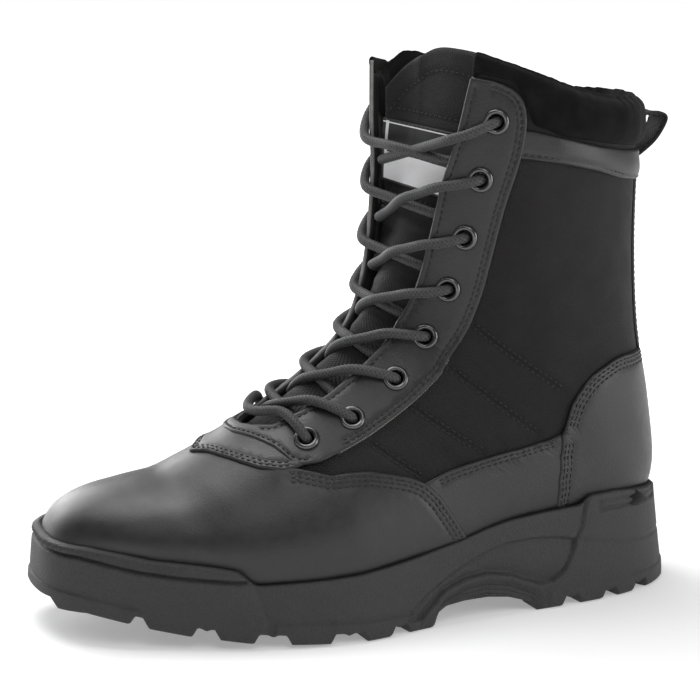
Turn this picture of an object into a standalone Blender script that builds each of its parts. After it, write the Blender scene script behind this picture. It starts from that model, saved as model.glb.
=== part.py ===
"""Left high lace-up boot, standing on its sole.

The toe points to -Y, the outer side to +X. Stations run along the last from
the toe tip (0) over the instep and up the shaft (20). Angles run round each
section from the front ridge (0) to the sole or back seam (180), positive on
the outer side.
"""
import math

import bmesh
import bpy
import numpy as np
from mathutils import Vector

# Driving sizes in metres
LENGTH = 0.300
BALL_WIDTH = 0.110
HEIGHT = 0.250
WALL = 0.0024
GAP = 0.0003
LEATHER = 0.0014
FACING = 0.0017
STRAP = 0.0018
SEAM = 0.0005
COLLAR_OUT = 0.0032
COLLAR_IN = 0.0046
COLLAR_LINING = 0.0013
COLLAR_WRAP = 0.0032
TONGUE_THICKNESS = 0.0040
TONGUE_CLEARANCE = 0.0010
LABEL_THICKNESS = 0.0007
LABEL_LIFT = 0.0006
INSOLE_THICKNESS = 0.0040
LACE_RADIUS = 0.0022
LACE_CLEARANCE = 0.0006
EYELET_RADIUS = 0.0056
EYELET_HOLE = 0.0032
EYELET_BARREL = 0.0039
EYELET_RIM = 0.0010
HOLE_CLEARANCE = 0.0006
RIM_WALL = 0.0020
LUG_DEPTH = 0.0042
LUG_REACH = 0.016
LUG_TAPER = 0.0022
SIDE_STEP = 0.0012
ARCH_STEP = 0.0018
LOOP_WIDTH = 0.016
LOOP_THICKNESS = 0.0015

# One row a station. y in shares of LENGTH, z of HEIGHT, half widths of BALL_WIDTH
LAST_COLUMNS = (
    "front_y front_z back_y back_z outer inner level outer_round inner_round base_round ridge keel"
).split()
LAST = [
    (-.484, .124, -.474, .112, -.030, -.240, .50, 2.0, 2.00, 2.2, -.120, -.125),
    (-.486, .152, -.437, .106, +.035, -.345, .50, 2.2, 2.20, 2.6, -.130, -.130),
    (-.478, .187, -.386, .096, +.100, -.415, .46, 2.3, 2.20, 3.4, -.130, -.120),
    (-.457, .218, -.344, .090, +.173, -.442, .42, 2.3, 2.20, 4.4, -.125, -.105),
    (-.422, .240, -.305, .085, +.240, -.456, .38, 2.2, 2.10, 5.0, -.115, -.085),
    (-.372, .255, -.270, .082, +.298, -.461, .36, 2.1, 2.00, 5.4, -.100, -.065),
    (-.317, .270, -.230, .080, +.357, -.457, .35, 2.0, 1.95, 5.6, -.085, -.045),
    (-.267, .299, -.180, .080, +.405, -.441, .33, 1.9, 1.90, 5.6, -.070, -.025),
    (-.215, .336, -.120, .084, +.438, -.407, .31, 1.85, 1.85, 5.6, -.060, .000),
    (-.166, .375, -.045, .094, +.447, -.365, .30, 1.8, 1.90, 5.4, -.053, .015),
    (-.123, .414, +.055, .116, +.426, -.322, .32, 1.75, 2.00, 5.2, -.050, .030),
    (-.082, .457, +.180, .140, +.397, -.300, .36, 1.7, 2.10, 5.0, -.050, .040),
    (-.048, .500, +.320, .156, +.384, -.298, .40, 1.7, 2.20, 4.2, -.050, .045),
    (-.025, .543, +.416, .158, +.378, -.310, .42, 1.7, 2.30, 3.2, -.050, .045),
    (-.008, .586, +.458, .215, +.385, -.335, .44, 1.7, 2.40, 2.4, -.050, .040),
    (+.009, .640, +.450, .345, +.395, -.360, .46, 1.7, 2.50, 2.2, -.050, .030),
    (+.022, .706, +.428, .480, +.410, -.382, .48, 1.7, 2.60, 2.2, -.050, .020),
    (+.031, .792, +.419, .620, +.425, -.402, .50, 1.7, 2.70, 2.2, -.050, .010),
    (+.033, .872, +.418, .760, +.440, -.420, .50, 1.7, 2.90, 2.2, -.050, .005),
    (+.036, 1.00, +.424, .915, +.445, -.430, .50, 1.7, 3.10, 2.2, -.050, .000),
    (+.038, 1.06, +.428, .975, +.447, -.432, .50, 1.7, 3.10, 2.2, -.050, .000),
]
COLUMN_SCALE = {
    "front_y": LENGTH, "back_y": LENGTH, "front_z": HEIGHT, "back_z": HEIGHT,
    "outer": BALL_WIDTH, "inner": BALL_WIDTH, "ridge": BALL_WIDTH, "keel": BALL_WIDTH,
}
STATIONS = [0, 1, 1.8, 2.8, 4.1, 5.5, 7, 8.4, 9.8, 11.2, 12.4, 13, 13.5, 14.1, 15.3, 16.8, 18.4, 20]
HALF_ANGLES = [0, 16, 32, 49, 68, 90, 112, 134, 142, 156, 180]
UNDER_ANGLE = 134
BARE_UNDER_ANGLE = 142

# Throat edge: station, outer angle, inner angle
THROAT = [
    (8.34, 6, 6), (8.50, 13, 13), (8.86, 21, 20), (9.65, 25, 23), (10.4, 28, 25),
    (11.4, 29, 26), (12.6, 30, 27), (13.5, 30, 27), (14.7, 33, 27), (15.8, 35, 26),
    (17.0, 38.5, 25), (18.0, 44, 25), (18.8, 49, 25), (20.0, 50, 25),
]
# Rear edge of the facing: station, outer angle
FACING_REAR = [
    (7.80, 46), (8.62, 46), (9.3, 50), (10.8, 53), (12.7, 51), (13.6, 50), (15.0, 56), (16.4, 62),
    (17.6, 69), (18.2, 72.5), (18.5, 72.5), (18.7, 69), (18.79, 60),
]
# Edges that run round the foot: angle, station
STRAP_FRONT = [(0, 6.90), (10, 7.20), (20, 7.39), (30, 7.64), (38, 7.91), (45, 8.34), (47, 8.66)]
STRAP_REAR = [(0, 7.95), (9, 7.99), (23, 8.29), (33, 8.51), (43, 8.60), (47, 8.70)]
VAMP_REAR = [
    (0, 6.90), (10, 7.20), (20, 7.39), (30, 7.64), (38, 7.91), (45, 8.34), (47, 8.66), (52, 8.94),
    (57, 9.21), (60, 9.57), (64, 9.92), (69, 10.19), (74, 10.41), (80, 10.55), (90, 10.58),
    (116, 10.49), (134, 10.49),
]
FACING_FRONT = [(0, 7.95), (9, 7.99), (23, 8.29), (33, 8.51), (43, 8.62), (47, 8.70), (52, 8.98),
                (57, 9.25), (61, 9.7)]
# Side panel: angle, top or rear station
SIDE_PANEL_REAR = [(80, 10.72), (81, 11.04), (84, 11.58), (88, 12.18), (89.5, 12.75), (91, 13.20),
                   (94, 12.55), (102, 12.00), (119, 11.65), (134, 11.58)]
# Heel counter: angle, front station, top station
COUNTER = [(91, 13.24, 13.81), (93, 12.7, 14.22), (100, 12.14, 14.71), (110, 11.86, 15.09),
           (122, 11.68, 15.41), (134, 11.62, 15.56), (139, 12.55, 15.60), (148, 13.08, 15.67),
           (162, 13.25, 15.72), (180, 13.30, 15.75)]
# Cuff and the band under it: angle, band bottom, band top
BAND = [(75, 17.93, 18.29), (92, 17.97, 18.29), (108, 17.98, 18.28), (124, 17.96, 18.29),
        (150, 18.00, 18.33), (180, 18.06, 18.38)]
CUFF_OVER_FACING = 18.86
BACKSTAY_HALF_ANGLE = 22
BACKSTAY = (15.80, 18.02)
# Collar top line: y share of LENGTH, z share of HEIGHT
TOP_LINE = [(0, .985), (.07, .997), (.113, 1.004), (.153, .986), (.193, .968), (.243, .946),
            (.29, .930), (.34, .920), (.40, .916), (.50, .918)]
# Tongue: station, outer angle past the throat, inner angle past the throat, set back share of LENGTH
TONGUE = [
    (7.9, 8, 8, .000), (8.9, 10, 10, .001), (10, 11, 10, .004), (12, 12, 10, .011), (14, 13, 10, .018),
    (16, 12, 8, .028), (17.5, 12, 2, .040), (18.6, 12, -2, .051), (19.3, 10, -6, .055),
]
TONGUE_TOP_CORNER = 0.55
LABEL_STATIONS = (16.75, 18.05)
LABEL_ACROSS = (-.62, .42)
# Eyelets of the outer side from the top: station, angle
EYELETS = [(18.32, 60), (17.37, 55), (16.25, 50), (15.03, 45), (13.54, 41), (11.82, 42), (10.41, 43),
           (9.27, 38)]

# Sole rows: y, outer x, inner x in shares of LENGTH, BALL_WIDTH, BALL_WIDTH
OUTLINE = [
    (-.5020, -.120, -.235), (-.4985, -.052, -.295), (-.4900, +.012, -.345), (-.4760, +.070, -.390),
    (-.4530, +.130, -.427), (-.4250, +.182, -.454), (-.3900, +.237, -.476), (-.3500, +.290, -.489),
    (-.3120, +.336, -.497), (-.2750, +.380, -.498), (-.2400, +.415, -.491), (-.2070, +.444, -.480),
    (-.1730, +.467, -.461), (-.1400, +.484, -.441), (-.1070, +.493, -.418), (-.0770, +.495, -.398),
    (-.0420, +.484, -.375), (+.0000, +.462, -.353), (+.0420, +.443, -.339), (+.0900, +.430, -.333),
    (+.1400, +.422, -.333), (+.1900, +.417, -.336), (+.2400, +.411, -.345), (+.2900, +.402, -.352),
    (+.3350, +.387, -.351), (+.3800, +.361, -.337), (+.4150, +.325, -.303), (+.4450, +.275, -.250),
    (+.4700, +.208, -.178), (+.4860, +.130, -.100), (+.4930, +.055, -.030),
]
# Sole side heights: y share of LENGTH, then ground, rim and the two side edges in shares of HEIGHT
SOLE_SIDE_COLUMNS = "y ground rim low_edge high_edge".split()
SOLE_SIDE = [
    (-.502, .058, .177, .097, .160), (-.453, .058, .176, .096, .157), (-.407, .045, .167, .083, .145),
    (-.373, .035, .158, .071, .135), (-.327, .024, .152, .059, .129), (-.287, .018, .146, .051, .123),
    (-.250, .012, .138, .046, .114), (-.236, .010, .112, .044, .090), (-.190, .006, .114, .040, .092),
    (-.133, .003, .116, .036, .094), (-.083, .000, .119, .034, .096), (-.030, .000, .127, .033, .102),
    (+.010, .000, .134, .036, .070), (+.050, .000, .143, .062, .086), (+.090, .000, .153, .079, .108),
    (+.127, .000, .166, .084, .126), (+.167, .000, .176, .075, .137), (+.213, .000, .181, .054, .138),
    (+.262, .000, .184, .048, .130), (+.295, .000, .186, .048, .121), (+.310, .000, .202, .050, .117),
    (+.350, .000, .204, .054, .105), (+.410, .000, .197, .056, .100), (+.493, .000, .184, .056, .098),
]
ARCH_RISE = [(.035, 0), (.060, .018), (.090, .022), (.130, .022), (.165, .016), (.205, 0)]
# Lugs of each side, from and to in shares of LENGTH, then those of the middle with their half widths
SIDE_LUGS = [(-.488, -.398), (-.380, -.317), (-.287, -.235), (-.190, -.127), (-.078, -.033),
             (-.007, .043), (.210, .260), (.287, .333), (.357, .393), (.420, .472)]
MIDDLE_LUGS = [(-.435, -.390, .08), (-.355, -.300, .15), (-.270, -.215, .20), (-.175, -.120, .22),
               (-.080, -.030, .20), (.225, .275, .12), (.300, .345, .12), (.372, .405, .10)]

# Pull loop: distance off its seat on the back, z share of HEIGHT
LOOP_PATH = [(0, .774), (0, .804), (.0075, .822), (.0150, .845), (.0185, .868), (.0175, .887), (.0110, .894),
             (.0035, .888), (0, .876), (0, .858)]
LOOP_ON_COLLAR = .85

FLANK = 0.0060
DEEP_FLANK = 0.0130
OPENING_STATIONS = (1.8, 12.6)
OPENING_SHARE = 0.72
OPENING_BELOW = 0.0080
OPENING_ABOVE = 0.0040
INSOLE_STATIONS = (0.6, 13.3)
HOLLOW_STATIONS = STATIONS[2:]
SEAM_STATIONS = STATIONS[-4:]
VAMP_TIP = 0.9
FACING_START = 6.0
PADDING_FROM = 70
PADDING_OVER = 25
BORE_SIDES = 6
EYELET_STEPS = 8
LACE_SIDE_POINTS = 5
LACE_MARGIN = 0.0004
LACE_OVER_SHARE = 0.16
LACE_UNDER_SHARE = 0.80
LACE_EDGE_SHARE = 0.97
LACE_FAR_SHARE = 0.62
LACE_FAR_DEPTH = 0.0012
BAR_SPAN = (0.24, 0.76)
BAR_EDGE_SHARE = 0.85
TREAD_CHAMFER = 0.0016
TREAD_INSET = 0.0008
EDGE_HALF = 0.0005
LEAST_LIFT = 0.0022
RIM_ROUND = 0.0006
RIM_NEAR = 0.004
RIM_LEAST = 0.0004
LUG_ROOT = 0.0035
LUG_INSET = 0.0009
FLAT_ANGLE = 0.004

COLOURS = {
    "leather": ((0.012, 0.012, 0.013, 1), 0.38, 0.0),
    "nylon": ((0.020, 0.019, 0.019, 1), 0.80, 0.0),
    "suede": ((0.008, 0.008, 0.008, 1), 0.95, 0.0),
    "rubber": ((0.032, 0.032, 0.034, 1), 0.70, 0.0),
    "lace": ((0.010, 0.010, 0.010, 1), 0.75, 0.0),
    "metal": ((0.030, 0.030, 0.032, 1), 0.25, 1.0),
    "label": ((0.120, 0.120, 0.120, 1), 0.60, 0.0),
}


def clear_scene():
    for item in list(bpy.data.objects):
        bpy.data.objects.remove(item, do_unlink=True)


def make_collection(name):
    group = bpy.data.collections.new(name)
    bpy.context.scene.collection.children.link(group)
    return group


def smooth_curve(x, knots, values):
    """Cubic curve through the rows of a table."""
    x = np.asarray(x, float)
    knots = np.asarray(knots, float)
    values = np.asarray(values, float)
    slopes = np.gradient(values, knots)
    index = np.clip(np.searchsorted(knots, x) - 1, 0, len(knots) - 2)
    width = knots[index + 1] - knots[index]
    t = np.clip((x - knots[index]) / width, 0, 1)
    rise = (2 * t**3 - 3 * t**2 + 1) * values[index] + (3 * t**2 - 2 * t**3) * values[index + 1]
    lean = (t**3 - 2 * t**2 + t) * slopes[index] + (t**3 - t**2) * slopes[index + 1]
    return rise + lean * width


def table_line(x, table, column=1):
    """Straight interpolation in a short table, which may run along angles or shares."""
    knots = [row[0] for row in table]
    values = [row[column] for row in table]
    return np.interp(x, knots, values)


def section(station):
    """The named values of the last's section at each station."""
    knots = np.arange(len(LAST))
    values = {}
    for index, name in enumerate(LAST_COLUMNS):
        column = smooth_curve(station, knots, [row[index] for row in LAST])
        values[name] = column * COLUMN_SCALE.get(name, 1)
    return values


def bare_skin(station, angle):
    """Points of the last's surface."""
    angle = (np.asarray(angle, float) + 180) % 360 - 180
    s = section(station)
    outer_side = angle >= 0
    turn = np.abs(angle)
    width = np.where(outer_side, s["outer"], s["inner"])
    bulge = 2 / np.where(outer_side, s["outer_round"], s["inner_round"])
    base = 2 / s["base_round"]
    up = np.radians(np.clip(turn, 0, 90))
    down = np.radians(np.clip(turn - 90, 0, 90))
    upper_share = s["level"] + (1 - s["level"]) * np.abs(np.cos(up))**bulge
    upper_x = s["ridge"] + (width - s["ridge"]) * np.abs(np.sin(up))**bulge
    lower_share = s["level"] * (1 - np.abs(np.sin(down))**base)
    lower_x = s["keel"] + (width - s["keel"]) * np.abs(np.cos(down))**base
    share = np.where(turn <= 90, upper_share, lower_share)
    x = np.where(turn <= 90, upper_x, lower_x)
    y = s["back_y"] + share * (s["front_y"] - s["back_y"])
    z = s["back_z"] + share * (s["front_z"] - s["back_z"])
    return np.stack([x, y, z], -1)


def skin_and_normal(station, angle):
    station, angle = np.broadcast_arrays(np.asarray(station, float), np.asarray(angle, float))
    station_step = 0.04
    angle_step = 1.0
    point = bare_skin(station, angle)
    before = np.clip(station - station_step, 0, len(LAST) - 1)
    after = np.clip(station + station_step, 0, len(LAST) - 1)
    along = bare_skin(after, angle) - bare_skin(before, angle)
    around = bare_skin(station, angle + angle_step) - bare_skin(station, angle - angle_step)
    normal = np.cross(around, along)
    normal /= np.linalg.norm(normal, axis=-1, keepdims=True)
    s = section(station)
    centre = np.stack([
        0.5 * (s["outer"] + s["inner"]),
        0.5 * (s["front_y"] + s["back_y"]),
        0.5 * (s["front_z"] + s["back_z"]),
    ], -1)
    facing = np.sign((normal * (point - centre)).sum(-1, keepdims=True))
    return point, normal * facing


def skin(station, angle, depth=0.0):
    """Points at a distance outside the last (negative inside)."""
    point, normal = skin_and_normal(station, angle)
    depth = np.broadcast_to(np.asarray(depth, float), point.shape[:-1])
    return point + normal * depth[..., None]


def throat_angle(station, side):
    """Angle of the throat edge, side +1 outer, -1 inner."""
    return side * table_line(station, THROAT, 1 if side > 0 else 2)


def inner_angle(station, angle):
    """The angle on the inner side that matches one on the outer side."""
    outer_edge = throat_angle(station, 1)
    inner_edge = -throat_angle(station, -1)
    share = (90 - inner_edge) / (90 - outer_edge)
    return -np.where(angle < 90, inner_edge + (angle - outer_edge) * share, angle)


def side_angle(station, angle, side):
    return angle if side > 0 else inner_angle(station, angle)


def new_object(name, mesh, group):
    item = bpy.data.objects.new(name, mesh)
    group.objects.link(item)
    return item


def finish_mesh(name, vertices, faces, group):
    """Object from vertices and faces, in triangles with its faces pointing out."""
    mesh = bpy.data.meshes.new(name)
    mesh.from_pydata([tuple(map(float, v)) for v in vertices], [], faces)
    shape = bmesh.new()
    shape.from_mesh(mesh)
    bmesh.ops.triangulate(shape, faces=shape.faces[:], quad_method="FIXED")
    bmesh.ops.recalc_face_normals(shape, faces=shape.faces[:])
    shape.to_mesh(mesh)
    shape.free()
    return new_object(name, mesh, group)


def loft(name, rings, group):
    """Closed solid through closed rings of equal length, its ends fanned."""
    rings = np.asarray(rings)
    count, size = rings.shape[:2]
    vertices = list(rings.reshape(-1, 3)) + [rings[0].mean(axis=0), rings[-1].mean(axis=0)]
    faces = []
    for i in range(count - 1):
        for j in range(size):
            k = (j + 1) % size
            faces.append((i * size + j, i * size + k, (i + 1) * size + k, (i + 1) * size + j))
    first = count * size
    for j in range(size):
        k = (j + 1) % size
        faces.append((first, k, j))
        faces.append((first + 1, (count - 1) * size + j, (count - 1) * size + k))
    return finish_mesh(name, vertices, faces, group)


def slab(name, top, bottom, group):
    """Closed solid between two grids of points with the same rows and columns."""
    top = np.asarray(top)
    rows, columns = top.shape[:2]
    vertices = list(top.reshape(-1, 3)) + list(np.asarray(bottom).reshape(-1, 3))
    under = rows * columns
    faces = []
    for i in range(rows - 1):
        for j in range(columns - 1):
            a = i * columns + j
            quad = (a, a + 1, a + columns + 1, a + columns)
            faces.append(quad)
            faces.append(tuple(v + under for v in reversed(quad)))
    edge = [(0, j) for j in range(columns)]
    edge += [(i, columns - 1) for i in range(1, rows)]
    edge += [(rows - 1, j) for j in range(columns - 2, -1, -1)]
    edge += [(i, 0) for i in range(rows - 2, 0, -1)]
    for (i, j), (k, l) in zip(edge, edge[1:] + edge[:1]):
        a = i * columns + j
        b = k * columns + l
        faces.append((b, a, a + under, b + under))
    return finish_mesh(name, vertices, faces, group)


def last_body(name, depth, group, stations=STATIONS):
    """The whole last as one solid, at a depth that may vary with station and angle."""
    angles = HALF_ANGLES + [-a for a in HALF_ANGLES[-2:0:-1]]
    grid_station, grid_angle = np.meshgrid(stations, angles, indexing="ij")
    if callable(depth):
        depth = depth(grid_station, np.abs(grid_angle))
    return loft(name, skin(grid_station, grid_angle, depth), group)


def zone(name, stations, angles, group, outside=FLANK, inside=-FLANK):
    """Cutter over a grid of stations and angles, from inside the wall to outside it."""
    return slab(name, skin(stations, angles, outside), skin(stations, angles, inside), group)


def band_zone(name, rows, group, columns=9, outside=FLANK, inside=-FLANK):
    """Cutter from rows of station, from angle, to angle."""
    stations = np.array([[row[0]] * columns for row in rows])
    angles = np.array([np.linspace(row[1], row[2], columns) for row in rows])
    return zone(name, stations, angles, group, outside, inside)


def apron_zone(name, rows, group, columns=7, outside=FLANK, inside=-FLANK):
    """Cutter from rows of angle, from station, to station."""
    angles = np.array([[row[0]] * columns for row in rows])
    stations = np.array([np.linspace(row[1], row[2], columns) for row in rows])
    return zone(name, stations, angles, group, outside, inside)


def cut(item, operation, cutter):
    """Boolean by a cutter, applied, so that later cuts see the result."""
    modifier = item.modifiers.new(operation.lower(), "BOOLEAN")
    modifier.operation = operation
    modifier.object = cutter
    modifier.solver = "EXACT"
    graph = bpy.context.evaluated_depsgraph_get()
    mesh = bpy.data.meshes.new_from_object(item.evaluated_get(graph))
    item.modifiers.remove(modifier)
    old = item.data
    item.data = mesh
    bpy.data.meshes.remove(old)
    return item


def weld(item):
    """Merges the slivers that the cuts leave."""
    shape = bmesh.new()
    shape.from_mesh(item.data)
    bmesh.ops.remove_doubles(shape, verts=shape.verts, dist=0.00002)
    bmesh.ops.dissolve_degenerate(shape, edges=shape.edges, dist=0.00001)
    bmesh.ops.dissolve_limit(shape, angle_limit=FLAT_ANGLE, verts=shape.verts, edges=shape.edges)
    bmesh.ops.triangulate(shape, faces=shape.faces[:])
    shape.to_mesh(item.data)
    shape.free()
    return item


def paint(item, kind):
    colour, roughness, metallic = COLOURS[kind]
    material = bpy.data.materials.new(item.name)
    material.use_nodes = True
    shader = material.node_tree.nodes["Principled BSDF"]
    shader.inputs["Base Color"].default_value = colour
    shader.inputs["Roughness"].default_value = roughness
    shader.inputs["Metallic"].default_value = metallic
    material.diffuse_color = colour
    item.data.materials.clear()
    item.data.materials.append(material)
    item.data.polygons.foreach_set("material_index", [0] * len(item.data.polygons))
    item.data.set_sharp_from_angle(angle=math.radians(35))
    return item


def piece(item, kind):
    return paint(weld(item), kind)


def line_cutter(name, drop, group):
    """Cutter over the collar's top line, lowered by a drop."""
    ys = np.array([row[0] for row in TOP_LINE]) * LENGTH
    zs = np.array([row[1] for row in TOP_LINE]) * HEIGHT - drop
    half = 0.75 * BALL_WIDTH
    low = [[(-half, y, z), (half, y, z)] for y, z in zip(ys, zs)]
    high = [[(-half, y, 1.4 * HEIGHT), (half, y, 1.4 * HEIGHT)] for y in ys]
    return slab(name, high, low, group)


def throat_cutter(group):
    rows = [(s, -i, o) for s, o, i in THROAT]
    return band_zone("throat", rows, group, columns=9, outside=DEEP_FLANK, inside=-DEEP_FLANK)


def sole_opening(group):
    """Cutter for the open bottom of the upper, inside a lip along the feather edge."""
    rings = []
    for station in np.linspace(*OPENING_STATIONS, 15):
        s = section(station)
        fan = np.array([0, s["front_y"] - s["back_y"], s["front_z"] - s["back_z"]])
        low = np.array([0, s["back_y"], s["back_z"]]) - fan * (OPENING_BELOW / np.linalg.norm(fan))
        high = np.array([0, s["back_y"], s["back_z"]]) + fan * ((WALL + OPENING_ABOVE) / fan[2])
        left = np.array([s["keel"] + OPENING_SHARE * (s["inner"] - s["keel"]), 0, 0])
        right = np.array([s["keel"] + OPENING_SHARE * (s["outer"] - s["keel"]), 0, 0])
        rings.append([low + left, low + right, high + right, high + left])
    return loft("sole_opening", rings, group)


def bottom_slab(name, low, high, group):
    """Slab that follows the last's bottom between two heights over it."""
    rings = []
    for station in np.linspace(*INSOLE_STATIONS, 18):
        s = section(station)
        fan = np.array([0, s["front_y"] - s["back_y"], s["front_z"] - s["back_z"]]) / (
            s["front_z"] - s["back_z"])
        base = np.array([0, s["back_y"], s["back_z"]])
        half = np.array([0.6 * BALL_WIDTH, 0, 0])
        rings.append([base + fan * low - half, base + fan * low + half,
                      base + fan * high + half, base + fan * high - half])
    return loft(name, rings, group)


def eyelet_places():
    """Name, station and angle of each eyelet."""
    places = []
    for side, label in ((1, "outer"), (-1, "inner")):
        for index, (station, angle) in enumerate(EYELETS):
            places.append((f"eyelet_{label}_{index + 1}", station, float(side_angle(station, angle, side))))
    return places


def eyelet_frame(station, angle):
    """Matrix with its origin on the facing and Z along the surface normal."""
    point, normal = skin_and_normal(station, angle)
    seat = Vector(point + normal * (GAP + FACING + 2 * GAP))
    matrix = Vector(normal).to_track_quat("Z", "Y").to_matrix().to_4x4()
    matrix.translation = seat
    return matrix


def bore_cutter(matrix, group):
    radius = (EYELET_BARREL + HOLE_CLEARANCE) / math.cos(math.pi / BORE_SIDES)
    bpy.ops.mesh.primitive_cylinder_add(vertices=BORE_SIDES, radius=radius, depth=4 * FLANK)
    item = bpy.context.object
    item.name = "bore"
    item.matrix_world = matrix
    for other in list(item.users_collection):
        other.objects.unlink(item)
    group.objects.link(item)
    return item


def build_upper(parts, tools, cutters):
    upper = last_body("upper", 0.0, parts)
    hollow = last_body("hollow", -WALL, tools, HOLLOW_STATIONS)
    cut(upper, "DIFFERENCE", hollow)
    cut(upper, "DIFFERENCE", line_cutter("upper_top", COLLAR_WRAP, tools))
    cut(upper, "DIFFERENCE", cutters["throat"])
    cut(upper, "DIFFERENCE", sole_opening(tools))
    for bore in cutters["bores"]:
        cut(upper, "DIFFERENCE", bore)
    return piece(upper, "nylon")


def overlay(name, thickness, shape, parts, cutters, trims=()):
    """Skin piece between two larger forms of the last, inside its cutter."""
    item = last_body(name, GAP + thickness, parts)
    cut(item, "INTERSECT", shape)
    cut(item, "DIFFERENCE", cutters["core"])
    for trim in trims:
        cut(item, "DIFFERENCE", trim)
    return item


def seam_share():
    """The seam gap in stations of the forefoot."""
    return SEAM / (LENGTH / len(LAST))


def both_sides(rows):
    """Rows of angle, from, to, repeated on the inner side."""
    mirrored = [(-row[0],) + tuple(row[1:]) for row in reversed(rows) if row[0] > 0]
    return mirrored + list(rows)


def build_vamp(parts, tools, cutters):
    gap = seam_share()
    angles = [0, 10, 20, 30, 38, 45, 47, 52, 60, 69, 80, 100, UNDER_ANGLE]
    rows = [(a, VAMP_TIP, table_line(a, VAMP_REAR) - gap) for a in angles]
    shape = apron_zone("vamp_zone", both_sides(rows), tools, columns=10)
    return piece(overlay("vamp", LEATHER, shape, parts, cutters), "leather")


def build_strap(parts, tools, cutters):
    gap = seam_share()
    rows = [(a, table_line(a, STRAP_FRONT) + gap, table_line(a, STRAP_REAR) - gap)
            for a in (0, 9, 18, 27, 35, 42)]
    shape = apron_zone("strap_zone", both_sides(rows), tools, columns=4)
    return piece(overlay("instep_strap", STRAP, shape, parts, cutters), "leather")


def build_facing(parts, tools, cutters):
    gap = seam_share()
    rows = [(s, float(inner_angle(s, a)), a) for s, a in FACING_REAR]
    shape = band_zone("facing_zone", rows, tools, columns=17)
    front = [(a, FACING_START, table_line(a, FACING_FRONT) + gap) for a in (0, 9, 23, 33, 43, 47, 52, 57, 61)]
    ahead = apron_zone("facing_front", both_sides(front), tools, columns=4,
                       outside=DEEP_FLANK, inside=-DEEP_FLANK)
    trims = [ahead, cutters["throat"]] + cutters["bores"]
    return piece(overlay("facing", FACING, shape, parts, cutters, trims), "leather")


def build_side_panel(side, parts, tools, cutters):
    gap = seam_share()
    rows = []
    for angle, rear in SIDE_PANEL_REAR:
        rows.append((side * angle, table_line(angle, VAMP_REAR) + gap, rear - gap))
    name = "side_panel_outer" if side > 0 else "side_panel_inner"
    shape = apron_zone(name + "_zone", rows, tools, columns=7)
    return piece(overlay(name, LEATHER, shape, parts, cutters), "leather")


def round_the_back(rows):
    """Rows of angle, from, to on the outer side, carried past 180 to the inner side."""
    turned = [(360 + float(inner_angle(row[1], row[0])),) + tuple(row[1:]) for row in reversed(rows[:-1])]
    return list(rows) + turned


def build_counter(parts, tools, cutters):
    shape = apron_zone("counter_zone", round_the_back(COUNTER), tools, columns=9)
    return piece(overlay("heel_counter", LEATHER, shape, parts, cutters), "leather")


def build_band(parts, tools, cutters):
    gap = seam_share()
    rows = [(a, low, high - gap) for a, low, high in BAND]
    shape = apron_zone("band_zone", round_the_back(rows), tools, columns=3)
    return piece(overlay("collar_band", LEATHER, shape, parts, cutters), "leather")


def build_backstay(parts, tools, cutters):
    low, high = BACKSTAY
    angles = np.linspace(180 - BACKSTAY_HALF_ANGLE, 180 + BACKSTAY_HALF_ANGLE, 5)
    shape = apron_zone("backstay_zone", [(a, low, high) for a in angles], tools, columns=6)
    return piece(overlay("backstay", LEATHER, shape, parts, cutters), "leather")


def padding(angle, front, full):
    """Depth that grows from the throat to the padded sides and back."""
    return front + (full - front) * np.clip((angle - PADDING_FROM) / PADDING_OVER, 0, 1)


def build_collar(parts, tools, cutters):
    outer = last_body("collar", lambda s, a: padding(a, GAP + LEATHER, COLLAR_OUT), parts)
    inside = -(WALL + GAP + COLLAR_LINING)
    core = last_body("collar_core", lambda s, a: padding(a, inside, -(WALL + COLLAR_IN)), tools)
    rows = [(a, CUFF_OVER_FACING, 20) for a in (50.5, 58, 66, 73.5)]
    rows += [(a + 0.3, high + 0.02, 20) for a, low, high in BAND]
    rows[-1] = (180, rows[-1][1], 20)
    shape = apron_zone("collar_zone", round_the_back(rows), tools, columns=4, outside=DEEP_FLANK,
                       inside=-DEEP_FLANK)
    cut(outer, "INTERSECT", shape)
    cut(outer, "DIFFERENCE", core)
    cut(outer, "DIFFERENCE", line_cutter("collar_top", 0.0, tools))
    sleeve = last_body("sleeve", GAP, tools)
    cut(sleeve, "DIFFERENCE", last_body("sleeve_core", -(WALL + GAP), tools, HOLLOW_STATIONS))
    cut(sleeve, "DIFFERENCE", line_cutter("sleeve_top", COLLAR_WRAP - GAP, tools))
    cut(outer, "DIFFERENCE", sleeve)
    return piece(outer, "suede")


def tongue_point(station, across, depth):
    """Point of the tongue, across from -1 inner to 1 outer, at a depth over its face."""
    outer_edge = throat_angle(station, 1) + table_line(station, TONGUE, 1)
    inner_edge = throat_angle(station, -1) - table_line(station, TONGUE, 2)
    angle = 0.5 * (outer_edge + inner_edge) + 0.5 * across * (outer_edge - inner_edge)
    face = -(WALL + TONGUE_CLEARANCE)
    point = skin(station, angle, face + depth)
    s = section(station)
    back = np.stack([np.zeros_like(s["back_y"]), s["back_y"] - s["front_y"], s["back_z"] - s["front_z"]], -1)
    back /= np.linalg.norm(back, axis=-1, keepdims=True)
    sink = table_line(station, TONGUE, 3) * LENGTH * (1 - across**4)
    return point + back * np.asarray(sink)[..., None]


def tongue_grid(across, share, depth):
    """Grid of tongue points; the top edge has round corners."""
    across, share = np.meshgrid(across, share)
    low = TONGUE[0][0]
    high = TONGUE[-1][0] - TONGUE_TOP_CORNER * across**6
    return tongue_point(low + share * (high - low), across, depth)


def build_tongue(parts):
    low, high = LABEL_ACROSS
    across = np.concatenate([[-1, -.85], np.linspace(low, high, 5), [.72, .9, 1]])
    share = np.linspace(0, 1, 14)
    item = slab("tongue", tongue_grid(across, share, 0.0),
                tongue_grid(across, share, -TONGUE_THICKNESS), parts)
    return piece(item, "nylon")


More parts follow.
